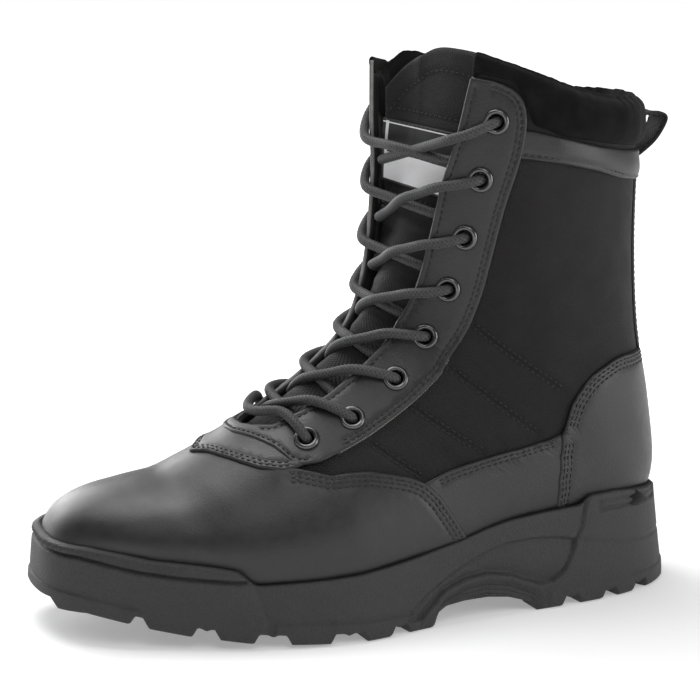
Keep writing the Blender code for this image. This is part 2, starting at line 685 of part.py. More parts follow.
def build_label(parts):
    across, station = np.meshgrid(np.linspace(*LABEL_ACROSS, 5), np.linspace(*LABEL_STATIONS, 4))
    low = tongue_point(station, across, LABEL_LIFT)
    high = tongue_point(station, across, LABEL_LIFT + LABEL_THICKNESS)
    return piece(slab("tongue_label", high, low, parts), "label")


def build_insole(parts, tools):
    item = last_body("insole", -(WALL + GAP), parts, HOLLOW_STATIONS)
    low = WALL + GAP
    cut(item, "INTERSECT", bottom_slab("insole_slab", low, low + INSOLE_THICKNESS, tools))
    return piece(item, "nylon")


def sole_value(y, column):
    index = SOLE_SIDE_COLUMNS.index(column)
    return table_line(y / LENGTH, SOLE_SIDE, index) * HEIGHT


def outline_rows():
    """Outer and inner outline points and their outward normals, from toe to heel."""
    y = np.array([row[0] for row in OUTLINE]) * LENGTH
    sides = []
    for column, side in ((1, 1), (2, -1)):
        x = np.array([row[column] for row in OUTLINE]) * BALL_WIDTH
        points = np.stack([x, y], -1)
        along = np.gradient(points, axis=0)
        normal = np.stack([along[:, 1], -along[:, 0]], -1) * side
        sides.append((points, normal / np.linalg.norm(normal, axis=-1, keepdims=True)))
    return sides


def outline_at(y, side):
    """Outline x on one side at each y."""
    return np.interp(y / LENGTH, [row[0] for row in OUTLINE],
                     [row[1 if side > 0 else 2] for row in OUTLINE]) * BALL_WIDTH


def last_slice(height, side):
    """Outline of the last on one side where it crosses a height."""
    station = np.linspace(0, 14.5, 146)
    s = section(station)
    share = (height - s["back_z"]) / (s["front_z"] - s["back_z"])
    width = s["outer"] if side > 0 else s["inner"]
    bulge = (s["outer_round"] if side > 0 else s["inner_round"]) / 2
    inside = (share > 0) & (share < 1)
    share = np.clip(share, 0.0001, 0.9999)
    over = np.clip((share - s["level"]) / (1 - s["level"]), 0, 1)
    below = np.clip(1 - share / s["level"], 0, 1)
    high_x = s["ridge"] + (width - s["ridge"]) * np.sin(np.arccos(over**bulge))**(1 / bulge)
    low_x = s["keel"] + (width - s["keel"]) * np.cos(
        np.arcsin(below**(s["base_round"] / 2)))**(2 / s["base_round"])
    x = np.where(share > s["level"], high_x, low_x)
    y = s["back_y"] + share * (s["front_y"] - s["back_y"])
    points = np.stack([x, y], -1)[inside]
    return points[np.argsort(points[:, 1])]


def rim_inset(point, normal, height, side):
    """How far the rim stands inside the outline, so that it follows the upper."""
    curve = last_slice(height, side)
    offset = curve - point
    across = offset @ np.array([-normal[1], normal[0]])
    inward = -(offset @ normal)
    near = inward[np.abs(across) < RIM_NEAR]
    reach = near.min() if len(near) else inward.min()
    return max(reach - (2 * GAP + LEATHER + RIM_WALL), RIM_LEAST)


def side_levels(y, inset):
    """Heights and insets of the sole's side from the bottom to the rim."""
    ground = float(sole_value(y, "ground"))
    rise = float(table_line(y / LENGTH, ARCH_RISE)) * HEIGHT
    waist = float(np.clip(table_line(y / LENGTH, ARCH_RISE) / .018, 0, 1))
    bottom = ground + LUG_DEPTH + rise
    low = max(float(sole_value(y, "low_edge")), bottom + LEAST_LIFT)
    high = float(sole_value(y, "high_edge"))
    rim = float(sole_value(y, "rim"))
    forefoot = 1 - waist if y < 0.12 * LENGTH else 0
    deep = ARCH_STEP * waist
    ledge = SIDE_STEP * forefoot
    lean = inset / (rim - low)
    return [
        (bottom, TREAD_INSET + 1.6 * deep),
        (bottom + TREAD_CHAMFER, 1.3 * deep),
        (low - EDGE_HALF, deep),
        (low + EDGE_HALF, ledge + 0.4 * deep),
        (high - EDGE_HALF, max(ledge, lean * (high - low)) + 0.4 * deep),
        (high + EDGE_HALF, lean * (high - low)),
        (rim - 2 * RIM_ROUND, inset - RIM_ROUND / 3),
        (rim, inset + RIM_ROUND),
    ]


def sole_ring(outer, inner):
    """One section of the sole: up the outer side, across the top, down the inner side."""
    ring = []
    for (point, normal), side in ((outer, 1), (inner, -1)):
        y = float(point[1])
        inset = rim_inset(point, normal, float(sole_value(y, "rim")), side)
        wall = [(*(point - normal * back), height) for height, back in side_levels(y, inset)]
        ring.extend(wall if side > 0 else reversed(wall))
    return ring


def lug_block(name, corners, top, bottom, taper, group):
    """Tapered block over four plan corners, each with its own top height."""
    corners = np.asarray(corners)
    middle = corners.mean(axis=0)
    shrink = (corners - middle) / np.linalg.norm(corners - middle, axis=-1, keepdims=True)
    foot = corners - shrink * taper
    low = [[x, y, z] for (x, y), z in zip(foot, bottom)]
    high = [[x, y, z] for (x, y), z in zip(corners, top)]
    return loft(name, [low, high], group)


def lug_heights(corners):
    grounds = [float(sole_value(y, "ground")) for x, y in corners]
    tops = [g + LUG_DEPTH + LUG_ROOT for g in grounds]
    return tops, grounds


def side_lugs(group):
    for side in (1, -1):
        for start, end in SIDE_LUGS:
            corners = []
            for share, inward in ((start, 0), (end, 0), (end, 1), (start, 1)):
                y = share * LENGTH
                edge = outline_at(y, side) - side * LUG_INSET
                corners.append((edge - side * LUG_REACH * inward, y))
            tops, grounds = lug_heights(corners)
            yield lug_block("side_lug", corners, tops, grounds, LUG_TAPER, group)


def middle_lugs(group):
    for start, end, half in MIDDLE_LUGS:
        corners = []
        for share, across in ((start, 1), (end, 1), (end, -1), (start, -1)):
            y = share * LENGTH
            centre = 0.5 * (outline_at(y, 1) + outline_at(y, -1))
            corners.append((centre + across * half * BALL_WIDTH, y))
        tops, grounds = lug_heights(corners)
        yield lug_block("middle_lug", corners, tops, grounds, LUG_TAPER, group)


def recess_depth(station, angle):
    """Room for the leather down to the feather edge, and for the bare wall under it."""
    wrapped = (angle <= BARE_UNDER_ANGLE) | (station >= 12.4)
    return np.where(wrapped, GAP + LEATHER + GAP, GAP)


def build_outsole(parts, tools):
    outer, inner = outline_rows()
    rings = [sole_ring((outer[0][i], outer[1][i]), (inner[0][i], inner[1][i]))
             for i in range(len(OUTLINE))]
    item = loft("outsole", rings, parts)
    for lug in list(side_lugs(tools)) + list(middle_lugs(tools)):
        cut(item, "UNION", lug)
    cut(item, "DIFFERENCE", last_body("recess", recess_depth, tools))
    return piece(item, "rubber")


def build_eyelet(name, station, angle, parts):
    """Turned rivet ring with its barrel through the wall."""
    barrel_end = -(GAP + FACING + GAP + WALL + 0.5 * GAP)
    profile = [(EYELET_HOLE, EYELET_RIM), (EYELET_RADIUS, 0.3 * EYELET_RIM), (EYELET_RADIUS, 0),
               (EYELET_BARREL, 0), (EYELET_BARREL, barrel_end), (EYELET_HOLE, barrel_end)]
    mesh = bpy.data.meshes.new(name)
    count = len(profile)
    mesh.from_pydata([(r, 0, z) for r, z in profile], [(i, (i + 1) % count) for i in range(count)], [])
    item = new_object(name, mesh, parts)
    screw = item.modifiers.new("turn", "SCREW")
    screw.steps = EYELET_STEPS
    screw.render_steps = EYELET_STEPS
    screw.use_merge_vertices = True
    screw.merge_threshold = 0.00001
    screw.use_smooth_shade = True
    item.matrix_world = eyelet_frame(station, angle)
    graph = bpy.context.evaluated_depsgraph_get()
    graph.update()
    turned = bpy.data.meshes.new_from_object(item.evaluated_get(graph))
    item.modifiers.clear()
    item.data = turned
    shape = bmesh.new()
    shape.from_mesh(turned)
    bmesh.ops.recalc_face_normals(shape, faces=shape.faces[:])
    shape.to_mesh(turned)
    shape.free()
    return paint(item, "metal")


def tongue_samples():
    """Dense points and normals of the tongue's face."""
    face = tongue_grid(np.linspace(-.96, .96, 41), np.linspace(0, 1, 121), 0.0)
    normal = np.cross(np.gradient(face, axis=1), np.gradient(face, axis=0))
    normal /= np.linalg.norm(normal, axis=-1, keepdims=True)
    forward = np.array([0, -1, 0.5])
    normal *= np.sign((normal * forward).sum(-1, keepdims=True))
    return face.reshape(-1, 3), normal.reshape(-1, 3)


def clear_of_tongue(point, samples):
    """Moves a lace point out until its cord clears the tongue."""
    face, normal = samples
    nearest = np.argmin(((face - point)**2).sum(-1))
    height = (point - face[nearest]) @ normal[nearest]
    need = LACE_RADIUS + LACE_CLEARANCE + LACE_MARGIN
    return point + normal[nearest] * max(need - height, 0)


def cord(name, points, group):
    """Round cord along points, as a mesh with welded caps."""
    curve = bpy.data.curves.new(name, "CURVE")
    curve.dimensions = "3D"
    curve.bevel_depth = LACE_RADIUS
    curve.bevel_resolution = 2
    curve.use_fill_caps = True
    spline = curve.splines.new("POLY")
    spline.points.add(len(points) - 1)
    for target, point in zip(spline.points, points):
        target.co = (*point, 1)
    carrier = new_object(name + "_path", curve, group)
    graph = bpy.context.evaluated_depsgraph_get()
    graph.update()
    mesh = bpy.data.meshes.new_from_object(carrier.evaluated_get(graph))
    item = new_object(name, mesh, group)
    item.matrix_world = carrier.matrix_world
    bpy.data.objects.remove(carrier, do_unlink=True)
    shape = bmesh.new()
    shape.from_mesh(mesh)
    bmesh.ops.remove_doubles(shape, verts=shape.verts, dist=0.00002)
    bmesh.ops.triangulate(shape, faces=shape.faces[:])
    bmesh.ops.recalc_face_normals(shape, faces=shape.faces[:])
    shape.to_mesh(mesh)
    shape.free()
    return item


def lace_over():
    """Height of a lace's middle over the last where it crosses the facing."""
    return GAP + FACING + LACE_RADIUS + LACE_CLEARANCE + LACE_MARGIN


def lace_start(station, angle, edge_angle):
    """Points from above the eyelet to the throat edge."""
    rim = lace_over() + GAP + EYELET_RIM
    turns = [angle + share * (edge_angle - angle) for share in (0.25, 0.5, 0.75)]
    return [skin(station, turns[0], rim), skin(station, turns[1], rim), skin(station, turns[2], lace_over())]


def lace_arm(index, side, samples):
    """Arm of a crossing: over this side's edge, down across the tongue, short of the other edge."""
    station, angle = EYELETS[index]
    below = EYELETS[index + 1][0]
    angle = float(side_angle(station, angle, side))
    over = station + LACE_OVER_SHARE * (below - station)
    under = station + LACE_UNDER_SHARE * (below - station)
    edge = float(throat_angle(over, side))
    other = float(throat_angle(under, -side))
    points = lace_start(station, angle, edge)
    first = skin(over, edge * LACE_EDGE_SHARE, lace_over())
    last = skin(under, other * LACE_FAR_SHARE, -LACE_FAR_DEPTH)
    for share in np.linspace(0, 1, LACE_SIDE_POINTS):
        point = first + (last - first) * share
        points.append(clear_of_tongue(point, samples) if share > 0 else point)
    return points


def build_laces(parts, tools):
    samples = tongue_samples()
    for index in range(len(EYELETS) - 1):
        item = cord(f"lace_cross_{index + 1}", lace_arm(index, 1, samples), parts)
        other = cord("lace_arm", lace_arm(index, -1, samples), tools)
        cut(item, "UNION", other)
        piece(item, "lace")
    station, angle = EYELETS[-1]
    outer = lace_start(station, angle, float(throat_angle(station, 1)))
    inner = lace_start(station, float(side_angle(station, angle, -1)), float(throat_angle(station, -1)))
    outer.append(skin(station, float(throat_angle(station, 1)) * BAR_EDGE_SHARE, lace_over()))
    inner.append(skin(station, float(throat_angle(station, -1)) * BAR_EDGE_SHARE, lace_over()))
    middle = [clear_of_tongue(outer[-1] + (inner[-1] - outer[-1]) * t, samples)
              for t in np.linspace(*BAR_SPAN, 4)]
    piece(cord("lace_bar", outer + middle + inner[::-1], parts), "lace")


def build_loop(parts):
    """Flat webbing loop, its ends against the band and the collar."""
    path = []
    for off, share in LOOP_PATH:
        cover = COLLAR_OUT if share > LOOP_ON_COLLAR else GAP + LEATHER
        seam = skin(np.array(SEAM_STATIONS), 180.0, cover + GAP + LOOP_THICKNESS / 2)
        path.append((0, np.interp(share * HEIGHT, seam[:, 2], seam[:, 1]) + off, share * HEIGHT))
    path = np.array(path)
    along = np.gradient(path, axis=0)
    across = np.stack([np.zeros(len(path)), -along[:, 2], along[:, 1]], -1)
    across *= LOOP_THICKNESS / 2 / np.linalg.norm(across, axis=-1, keepdims=True)
    half = np.array([LOOP_WIDTH / 2, 0, 0])
    outside = [[p + a - half, p + a + half] for p, a in zip(path, across)]
    inside = [[p - a - half, p - a + half] for p, a in zip(path, across)]
    return piece(slab("pull_loop", outside, inside, parts), "nylon")


def main():
    clear_scene()
    parts = make_collection("lace_up_boot")
    tools = make_collection("cutters")
    places = eyelet_places()
    cutters = {
        "core": last_body("core", GAP, tools),
        "throat": throat_cutter(tools),
        "bores": [bore_cutter(eyelet_frame(s, a), tools) for name, s, a in places],
    }
    build_outsole(parts, tools)
    build_insole(parts, tools)
    build_upper(parts, tools, cutters)
    build_vamp(parts, tools, cutters)
    build_strap(parts, tools, cutters)
    build_facing(parts, tools, cutters)
    build_side_panel(1, parts, tools, cutters)
    build_side_panel(-1, parts, tools, cutters)
    build_counter(parts, tools, cutters)
    build_backstay(parts, tools, cutters)
    build_band(parts, tools, cutters)
    build_collar(parts, tools, cutters)
    build_tongue(parts)
    build_label(parts)
    build_loop(parts)
    for name, station, angle in places:
        build_eyelet(name, station, angle, parts)
    build_laces(parts, tools)
    for item in tools.objects:
        item.hide_render = True
        item.display_type = "WIRE"


main()
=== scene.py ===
"""Looks of the left high lace-up boot: leather, nylon weave, suede, rubber, metal and braid.

The toe points to -Y, the outer side to +X. Stations run along the last from the
toe tip (0) over the instep and up the shaft (20). Angles run round each section
from the front ridge (0) to the sole or back seam (180), positive on the outer side.
"""
import math

import bmesh
import bpy
import numpy as np
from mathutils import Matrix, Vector
from mathutils.geometry import delaunay_2d_cdt
from mathutils.kdtree import KDTree


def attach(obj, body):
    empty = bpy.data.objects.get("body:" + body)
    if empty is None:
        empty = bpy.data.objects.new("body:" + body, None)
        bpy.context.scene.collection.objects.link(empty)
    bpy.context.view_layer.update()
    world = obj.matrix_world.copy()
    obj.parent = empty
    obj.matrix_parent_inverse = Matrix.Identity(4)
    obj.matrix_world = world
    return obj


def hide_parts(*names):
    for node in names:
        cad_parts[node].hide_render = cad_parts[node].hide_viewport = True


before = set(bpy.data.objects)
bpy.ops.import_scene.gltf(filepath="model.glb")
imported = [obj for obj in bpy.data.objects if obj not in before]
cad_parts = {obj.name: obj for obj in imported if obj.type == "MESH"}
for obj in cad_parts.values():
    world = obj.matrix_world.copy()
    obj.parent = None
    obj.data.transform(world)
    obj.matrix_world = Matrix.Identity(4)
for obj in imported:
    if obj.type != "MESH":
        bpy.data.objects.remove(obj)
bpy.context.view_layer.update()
BODY = "root"

# Driving sizes in metres, as the solids have them
LENGTH = 0.300
BALL_WIDTH = 0.110
HEIGHT = 0.250
WALL = 0.0024
GAP = 0.0003
LEATHER = 0.0014
FACING = 0.0017
STRAP = 0.0018
COLLAR_OUT = 0.0034
COLLAR_IN = 0.0060
TONGUE_THICKNESS = 0.0040
TONGUE_CLEARANCE = 0.0010
LABEL_LIFT = 0.0006
LACE_RADIUS = 0.0022
LUG_DEPTH = 0.0042
LUG_REACH = 0.016
RIM_WALL = 0.0020
LOOP_WIDTH = 0.016
LOOP_THICKNESS = 0.0015
THREAD = 0.00033
STITCH_PITCH = 0.0029
STITCH_LENGTH = 0.0022

# One row a station. y in shares of LENGTH, z of HEIGHT, half widths of BALL_WIDTH
LAST_COLUMNS = (
    "front_y front_z back_y back_z outer inner level outer_round inner_round base_round ridge keel"
).split()
LAST = [
    (-.484, .124, -.474, .112, -.030, -.240, .50, 2.0, 2.00, 2.2, -.120, -.125),
    (-.486, .152, -.437, .106, +.035, -.345, .50, 2.2, 2.20, 2.6, -.130, -.130),
    (-.478, .187, -.386, .096, +.100, -.415, .46, 2.3, 2.20, 3.4, -.130, -.120),
    (-.457, .218, -.344, .090, +.173, -.442, .42, 2.3, 2.20, 4.4, -.125, -.105),
    (-.422, .240, -.305, .085, +.240, -.456, .38, 2.2, 2.10, 5.0, -.115, -.085),
    (-.372, .255, -.270, .082, +.298, -.461, .36, 2.1, 2.00, 5.4, -.100, -.065),
    (-.317, .270, -.230, .080, +.357, -.457, .35, 2.0, 1.95, 5.6, -.085, -.045),
    (-.267, .299, -.180, .080, +.405, -.441, .33, 1.9, 1.90, 5.6, -.070, -.025),
    (-.215, .336, -.120, .084, +.438, -.407, .31, 1.85, 1.85, 5.6, -.060, .000),
    (-.166, .375, -.045, .094, +.447, -.365, .30, 1.8, 1.90, 5.4, -.053, .015),
    (-.123, .414, +.055, .116, +.426, -.322, .32, 1.75, 2.00, 5.2, -.050, .030),
    (-.082, .457, +.180, .140, +.397, -.300, .36, 1.7, 2.10, 5.0, -.050, .040),
    (-.048, .500, +.320, .156, +.384, -.298, .40, 1.7, 2.20, 4.2, -.050, .045),
    (-.025, .543, +.416, .158, +.378, -.310, .42, 1.7, 2.30, 3.2, -.050, .045),
    (-.008, .586, +.458, .215, +.385, -.335, .44, 1.7, 2.40, 2.4, -.050, .040),
    (+.009, .640, +.450, .345, +.395, -.360, .46, 1.7, 2.50, 2.2, -.050, .030),
    (+.022, .706, +.428, .480, +.410, -.382, .48, 1.7, 2.60, 2.2, -.050, .020),
    (+.031, .792, +.419, .620, +.425, -.402, .50, 1.7, 2.70, 2.2, -.050, .010),
    (+.033, .872, +.418, .760, +.440, -.420, .50, 1.7, 2.90, 2.2, -.050, .005),
    (+.036, 1.00, +.424, .915, +.445, -.430, .50, 1.7, 3.10, 2.2, -.050, .000),
    (+.038, 1.06, +.428, .975, +.447, -.432, .50, 1.7, 3.10, 2.2, -.050, .000),
]
COLUMN_SCALE = {
    "front_y": LENGTH, "back_y": LENGTH, "front_z": HEIGHT, "back_z": HEIGHT,
    "outer": BALL_WIDTH, "inner": BALL_WIDTH, "ridge": BALL_WIDTH, "keel": BALL_WIDTH,
}

# Throat edge: station, outer angle, inner angle
THROAT = [
    (8.34, 6, 6), (8.50, 13, 13), (8.86, 21, 20), (9.65, 25, 23), (10.4, 28, 25),
    (11.4, 29, 26), (12.6, 30, 27), (13.5, 30, 27), (14.7, 33, 27), (15.8, 35, 26),
    (17.0, 38.5, 25), (18.0, 44, 25), (18.8, 49, 25), (20.0, 50, 25),
]
# Rear edge of the facing: station, outer angle
FACING_REAR = [
    (9.7, 51), (10.8, 53), (12.7, 51), (13.6, 50), (15.0, 56), (16.4, 62),
    (17.6, 69), (18.2, 72.5), (18.5, 72.5), (18.7, 69), (18.79, 60), (18.79, 49.5),
]
# Edges that run round the foot: angle, station
STRAP_FRONT = [(0, 6.90), (10, 7.20), (20, 7.39), (30, 7.64), (38, 7.91), (45, 8.34), (47, 8.66)]
STRAP_REAR = [(0, 7.95), (9, 7.99), (23, 8.29), (33, 8.51), (43, 8.60), (47, 8.70)]
VAMP_REAR = [
    (0, 6.90), (10, 7.20), (20, 7.39), (30, 7.64), (38, 7.91), (45, 8.34), (47, 8.66), (52, 8.94),
    (57, 9.21), (60, 9.57), (64, 9.92), (69, 10.19), (74, 10.41), (80, 10.55), (90, 10.58),
    (116, 10.49), (134, 10.49),
]
FACING_FRONT = [(0, 7.95), (9, 7.99), (23, 8.29), (33, 8.51), (43, 8.62), (47, 8.80), (50, 9.2)]
SIDE_PANEL_TOP = [(80, 10.60), (81, 11.04), (84, 11.58), (88, 12.18), (89.5, 12.75), (91, 13.24)]
COUNTER_FRONT = [(91, 13.24), (93, 12.7), (100, 12.14), (110, 11.86), (122, 11.68), (134, 11.62)]
COUNTER_TOP = [(91, 13.24), (91.5, 13.81), (93, 14.22), (100, 14.71), (110, 15.09), (122, 15.41),
               (139, 15.60), (148, 15.67), (162, 15.72), (180, 15.75)]
BAND = [(64, 17.90, 18.27), (75, 17.93, 18.29), (92, 17.97, 18.29), (108, 17.98, 18.28), (124, 17.96, 18.29),
        (150, 18.00, 18.33), (180, 18.06, 18.38)]
CUFF_OVER_FACING = 18.86
BACKSTAY_HALF_ANGLE = 22
BACKSTAY = (15.80, 18.02)
QUILTING = [
    [(10.36, 55), (10.49, 67), (10.60, 77)],
    [(11.53, 52), (11.58, 68), (11.69, 81)],
    [(13.07, 52), (12.97, 68), (12.91, 85)],
    [(14.52, 55), (14.35, 68), (14.27, 89)],
]
# Collar top line: y share of LENGTH, z share of HEIGHT
TOP_LINE = [(0, .985), (.07, .997), (.113, 1.004), (.153, .986), (.193, .968), (.243, .946),
            (.29, .930), (.34, .920), (.40, .916), (.50, .918)]
# Tongue: station, outer angle past the throat, inner angle past the throat, set back share of LENGTH
TONGUE = [
    (7.9, 8, 8, .000), (8.9, 10, 10, .001), (10, 11, 10, .004), (12, 12, 10, .011), (14, 13, 10, .018),
    (16, 12, 4, .028), (17.5, 12, -6, .040), (18.6, 12, -11, .051), (19.3, 10, -15, .055),
]
LABEL_STATIONS = (16.75, 18.05)
LABEL_ACROSS = (-.95, .48)
# Eyelets of the outer side from the top: station, angle
EYELETS = [(18.32, 60), (17.37, 55), (16.25, 50), (15.03, 45), (13.54, 41), (11.82, 42), (10.41, 43),
           (9.27, 38)]

# Sole rows: y, outer x, inner x in shares of LENGTH, BALL_WIDTH, BALL_WIDTH
OUTLINE = [
    (-.5020, -.120, -.235), (-.4985, -.052, -.295), (-.4900, +.012, -.345), (-.4760, +.070, -.390),
    (-.4530, +.130, -.427), (-.4250, +.182, -.454), (-.3900, +.237, -.476), (-.3500, +.290, -.489),
    (-.3120, +.336, -.497), (-.2750, +.380, -.498), (-.2400, +.415, -.491), (-.2070, +.444, -.480),
    (-.1730, +.467, -.461), (-.1400, +.484, -.441), (-.1070, +.493, -.418), (-.0770, +.495, -.398),
    (-.0420, +.484, -.375), (+.0000, +.462, -.353), (+.0420, +.443, -.339), (+.0900, +.430, -.333),
    (+.1400, +.422, -.333), (+.1900, +.417, -.336), (+.2400, +.411, -.345), (+.2900, +.402, -.352),
    (+.3350, +.387, -.351), (+.3800, +.361, -.337), (+.4150, +.325, -.303), (+.4450, +.275, -.250),
    (+.4700, +.208, -.178), (+.4860, +.130, -.100), (+.4930, +.055, -.030),
]
# Sole side heights: y share of LENGTH, then ground and rim in shares of HEIGHT
SOLE_SIDE = [
    (-.502, .058, .177), (-.453, .058, .176), (-.407, .045, .167), (-.373, .035, .158),
    (-.327, .024, .152), (-.287, .018, .146), (-.258, .013, .139), (-.246, .011, .124),
    (-.236, .010, .112), (-.190, .006, .114), (-.133, .003, .116), (-.083, .000, .119),
    (-.030, .000, .127), (+.010, .000, .134), (+.050, .000, .143), (+.090, .000, .153),
    (+.127, .000, .166), (+.167, .000, .176), (+.213, .000, .181), (+.262, .000, .184),
    (+.290, .000, .186), (+.303, .000, .202), (+.350, .000, .204), (+.410, .000, .197),
    (+.493, .000, .184),
]
ARCH_RISE = [(.035, 0), (.060, .018), (.090, .022), (.130, .022), (.165, .016), (.205, 0)]
SIDE_LUGS = [(-.488, -.398), (-.380, -.317), (-.287, -.235), (-.190, -.127), (-.078, -.033),
             (-.007, .043), (.210, .260), (.287, .333), (.357, .393), (.420, .472)]
MIDDLE_LUGS = [(-.435, -.390, .08), (-.355, -.300, .15), (-.270, -.215, .20), (-.175, -.120, .22),
               (-.080, -.030, .20), (.225, .275, .12), (.300, .345, .12), (.372, .405, .10)]
# Relief lines on the sole's side: y and z in metres
TOE_GROOVE = [(-.152, .0400), (-.139, .0398), (-.133, .0385), (-.124, .0363), (-.116, .0345), (-.108, .0333),
              (-.100, .0322), (-.091, .0313), (-.080, .0305), (-.0765, .0303)]
TOE_LOW_LINE = [(-.152, .0245), (-.140, .0232), (-.128, .0205), (-.116, .0178)]
BUMPER_END = [(.0135, -.0670), (.0174, -.0690), (.0254, -.0710), (.0312, -.0740), (.0340, -.0760)]
LOW_STEP = [(-.062, .0112), (-.031, .0093), (-.015, .0087), (-.001, .0086), (.004, .0070)]
SWEEP_HIGH = [(-.003, .0060), (-.001, .0093), (.006, .0150), (.016, .0215), (.027, .0271), (.038, .0316),
              (.050, .0343), (.064, .0344), (.076, .0331), (.086, .0305), (.103, .0265), (.114, .0253),
              (.135, .0250), (.150, .0248)]
SWEEP_LOW = [(.005, .0050), (.008, .0085), (.017, .0162), (.027, .0198), (.038, .0209), (.050, .0186),
             (.059, .0147), (.066, .0124), (.072, .0110)]
CUP_FRONT = [(.0124, .066), (.0129, .072), (.0169, .078), (.0247, .082), (.0307, .084), (.0368, .087),
             (.0439, .088), (.0505, .0895)]
SLOT_TOP = .0470
SLOT_LOW = .0424
SLOT_FRONT = .0955
SLOT_REAR = .134

# Pull loop: distance off its seat on the back, z share of HEIGHT
LOOP_PATH = [(0, .774), (0, .792), (.0045, .806), (.0100, .824), (.0140, .846), (.0140, .866), (.0095, .874),
             (.0030, .870), (0, .862), (0, .848)]
LOOP_ON_COLLAR = .85

# Camera fitted to the photograph: degrees, metres
CAMERA_AZIMUTH = 68
CAMERA_ELEVATION = 12
CAMERA_DISTANCE = 0.900
CAMERA_TARGET = (-0.010, -0.005, 0.115)
CAMERA_LENS = 102.2


def smooth_curve(x, knots, values):
    """Cubic curve through the rows of a table."""
    x = np.asarray(x, float)
    knots = np.asarray(knots, float)
    values = np.asarray(values, float)
    slopes = np.gradient(values, knots)
    index = np.clip(np.searchsorted(knots, x) - 1, 0, len(knots) - 2)
    width = knots[index + 1] - knots[index]
    t = np.clip((x - knots[index]) / width, 0, 1)
    rise = (2 * t**3 - 3 * t**2 + 1) * values[index] + (3 * t**2 - 2 * t**3) * values[index + 1]
    lean = (t**3 - 2 * t**2 + t) * slopes[index] + (t**3 - t**2) * slopes[index + 1]
    return rise + lean * width


def table_line(x, table, column=1):
    return np.interp(x, [row[0] for row in table], [row[column] for row in table])


def soft_step(x, edge, width):
    """0 before the edge, 1 after it, smooth over a width."""
    t = np.clip((x - edge) / width + 0.5, 0, 1)
    return t * t * (3 - 2 * t)


def hill(x, width):
    """1 at 0, falling softly to both sides."""
    return np.exp(-(x / width)**2)


def unit(vectors):
    """Vectors brought to length 1."""
    return vectors / np.linalg.norm(vectors, axis=-1, keepdims=True)


def run_length(points):
    """Way travelled along a row of points, starting at 0."""
    return np.concatenate([[0], np.cumsum(np.linalg.norm(np.diff(points, axis=0), axis=1))])


def section(station):
    knots = np.arange(len(LAST))
    values = {}
    for index, name in enumerate(LAST_COLUMNS):
        column = smooth_curve(station, knots, [row[index] for row in LAST])
        values[name] = column * COLUMN_SCALE.get(name, 1)
    return values


def bare_skin(station, angle):
    """Points of the last's surface."""
    angle = (np.asarray(angle, float) + 180) % 360 - 180
    s = section(station)
    outer_side = angle >= 0
    turn = np.abs(angle)
    width = np.where(outer_side, s["outer"], s["inner"])
    bulge = 2 / np.where(outer_side, s["outer_round"], s["inner_round"])
    base = 2 / s["base_round"]
    up = np.radians(np.clip(turn, 0, 90))
    down = np.radians(np.clip(turn - 90, 0, 90))
    upper_share = s["level"] + (1 - s["level"]) * np.abs(np.cos(up))**bulge
    upper_x = s["ridge"] + (width - s["ridge"]) * np.abs(np.sin(up))**bulge
    lower_share = s["level"] * (1 - np.abs(np.sin(down))**base)
    lower_x = s["keel"] + (width - s["keel"]) * np.abs(np.cos(down))**base
    share = np.where(turn <= 90, upper_share, lower_share)
    x = np.where(turn <= 90, upper_x, lower_x)
    y = s["back_y"] + share * (s["front_y"] - s["back_y"])
    z = s["back_z"] + share * (s["front_z"] - s["back_z"])
    return np.stack([x, y, z], -1)


def skin_frame(station, angle):
    """Point, unit normal and the two partial derivatives of the last's surface."""
    station, angle = np.broadcast_arrays(np.asarray(station, float), np.asarray(angle, float))
    station_step = 0.06
    angle_step = 1.5
    point = bare_skin(station, angle)
    before = np.clip(station - station_step, 0, len(LAST) - 1)
    after = np.clip(station + station_step, 0, len(LAST) - 1)
    along = (bare_skin(after, angle) - bare_skin(before, angle)) / (after - before)[..., None]
    turned = bare_skin(station, angle + angle_step) - bare_skin(station, angle - angle_step)
    around = turned / (2 * angle_step)
    normal = np.cross(around, along)
    normal = unit(normal)
    s = section(station)
    centre = np.stack([
        0.5 * (s["outer"] + s["inner"]),
        0.5 * (s["front_y"] + s["back_y"]),
        0.5 * (s["front_z"] + s["back_z"]),
    ], -1)
    normal *= np.sign((normal * (point - centre)).sum(-1, keepdims=True))
    return point, normal, along, around


def skin(station, angle, depth=0.0):
    point, normal = skin_frame(station, angle)[:2]
    depth = np.broadcast_to(np.asarray(depth, float), point.shape[:-1])
    return point + normal * depth[..., None]


def throat_angle(station, side):
    return side * table_line(station, THROAT, 1 if side > 0 else 2)


def inner_angle(station, angle):
    """The angle on the inner side that matches one on the outer side."""
    outer_edge = throat_angle(station, 1)
    inner_edge = -throat_angle(station, -1)
    share = (90 - inner_edge) / (90 - outer_edge)
    return -np.where(angle < 90, inner_edge + (angle - outer_edge) * share, angle)


def side_angle(station, angle, side):
    return angle if side > 0 else inner_angle(station, angle)


def placed(name, data):
    """Object of some data, linked to the scene."""
    item = bpy.data.objects.new(name, data)
    bpy.context.scene.collection.objects.link(item)
    return item


def new_piece(name, mesh, kind, nodes):
    """Smooth object of a finished mesh, with its material, on the one body."""
    item = placed(name, mesh)
    mesh.shade_smooth()
    kinds = [kind] if isinstance(kind, str) else kind
    for entry in kinds:
        mesh.materials.append(MATERIALS[entry])
    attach(item, BODY)
    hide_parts(*nodes)
    return item


def mesh_of(name, vertices, faces, materials=None):
    mesh = bpy.data.meshes.new(name)
    mesh.from_pydata(np.asarray(vertices, float).tolist(), [], [tuple(map(int, f)) for f in faces])
    if materials is not None:
        mesh.polygons.foreach_set("material_index", np.asarray(materials, np.int32))
    mesh.validate()
    return mesh


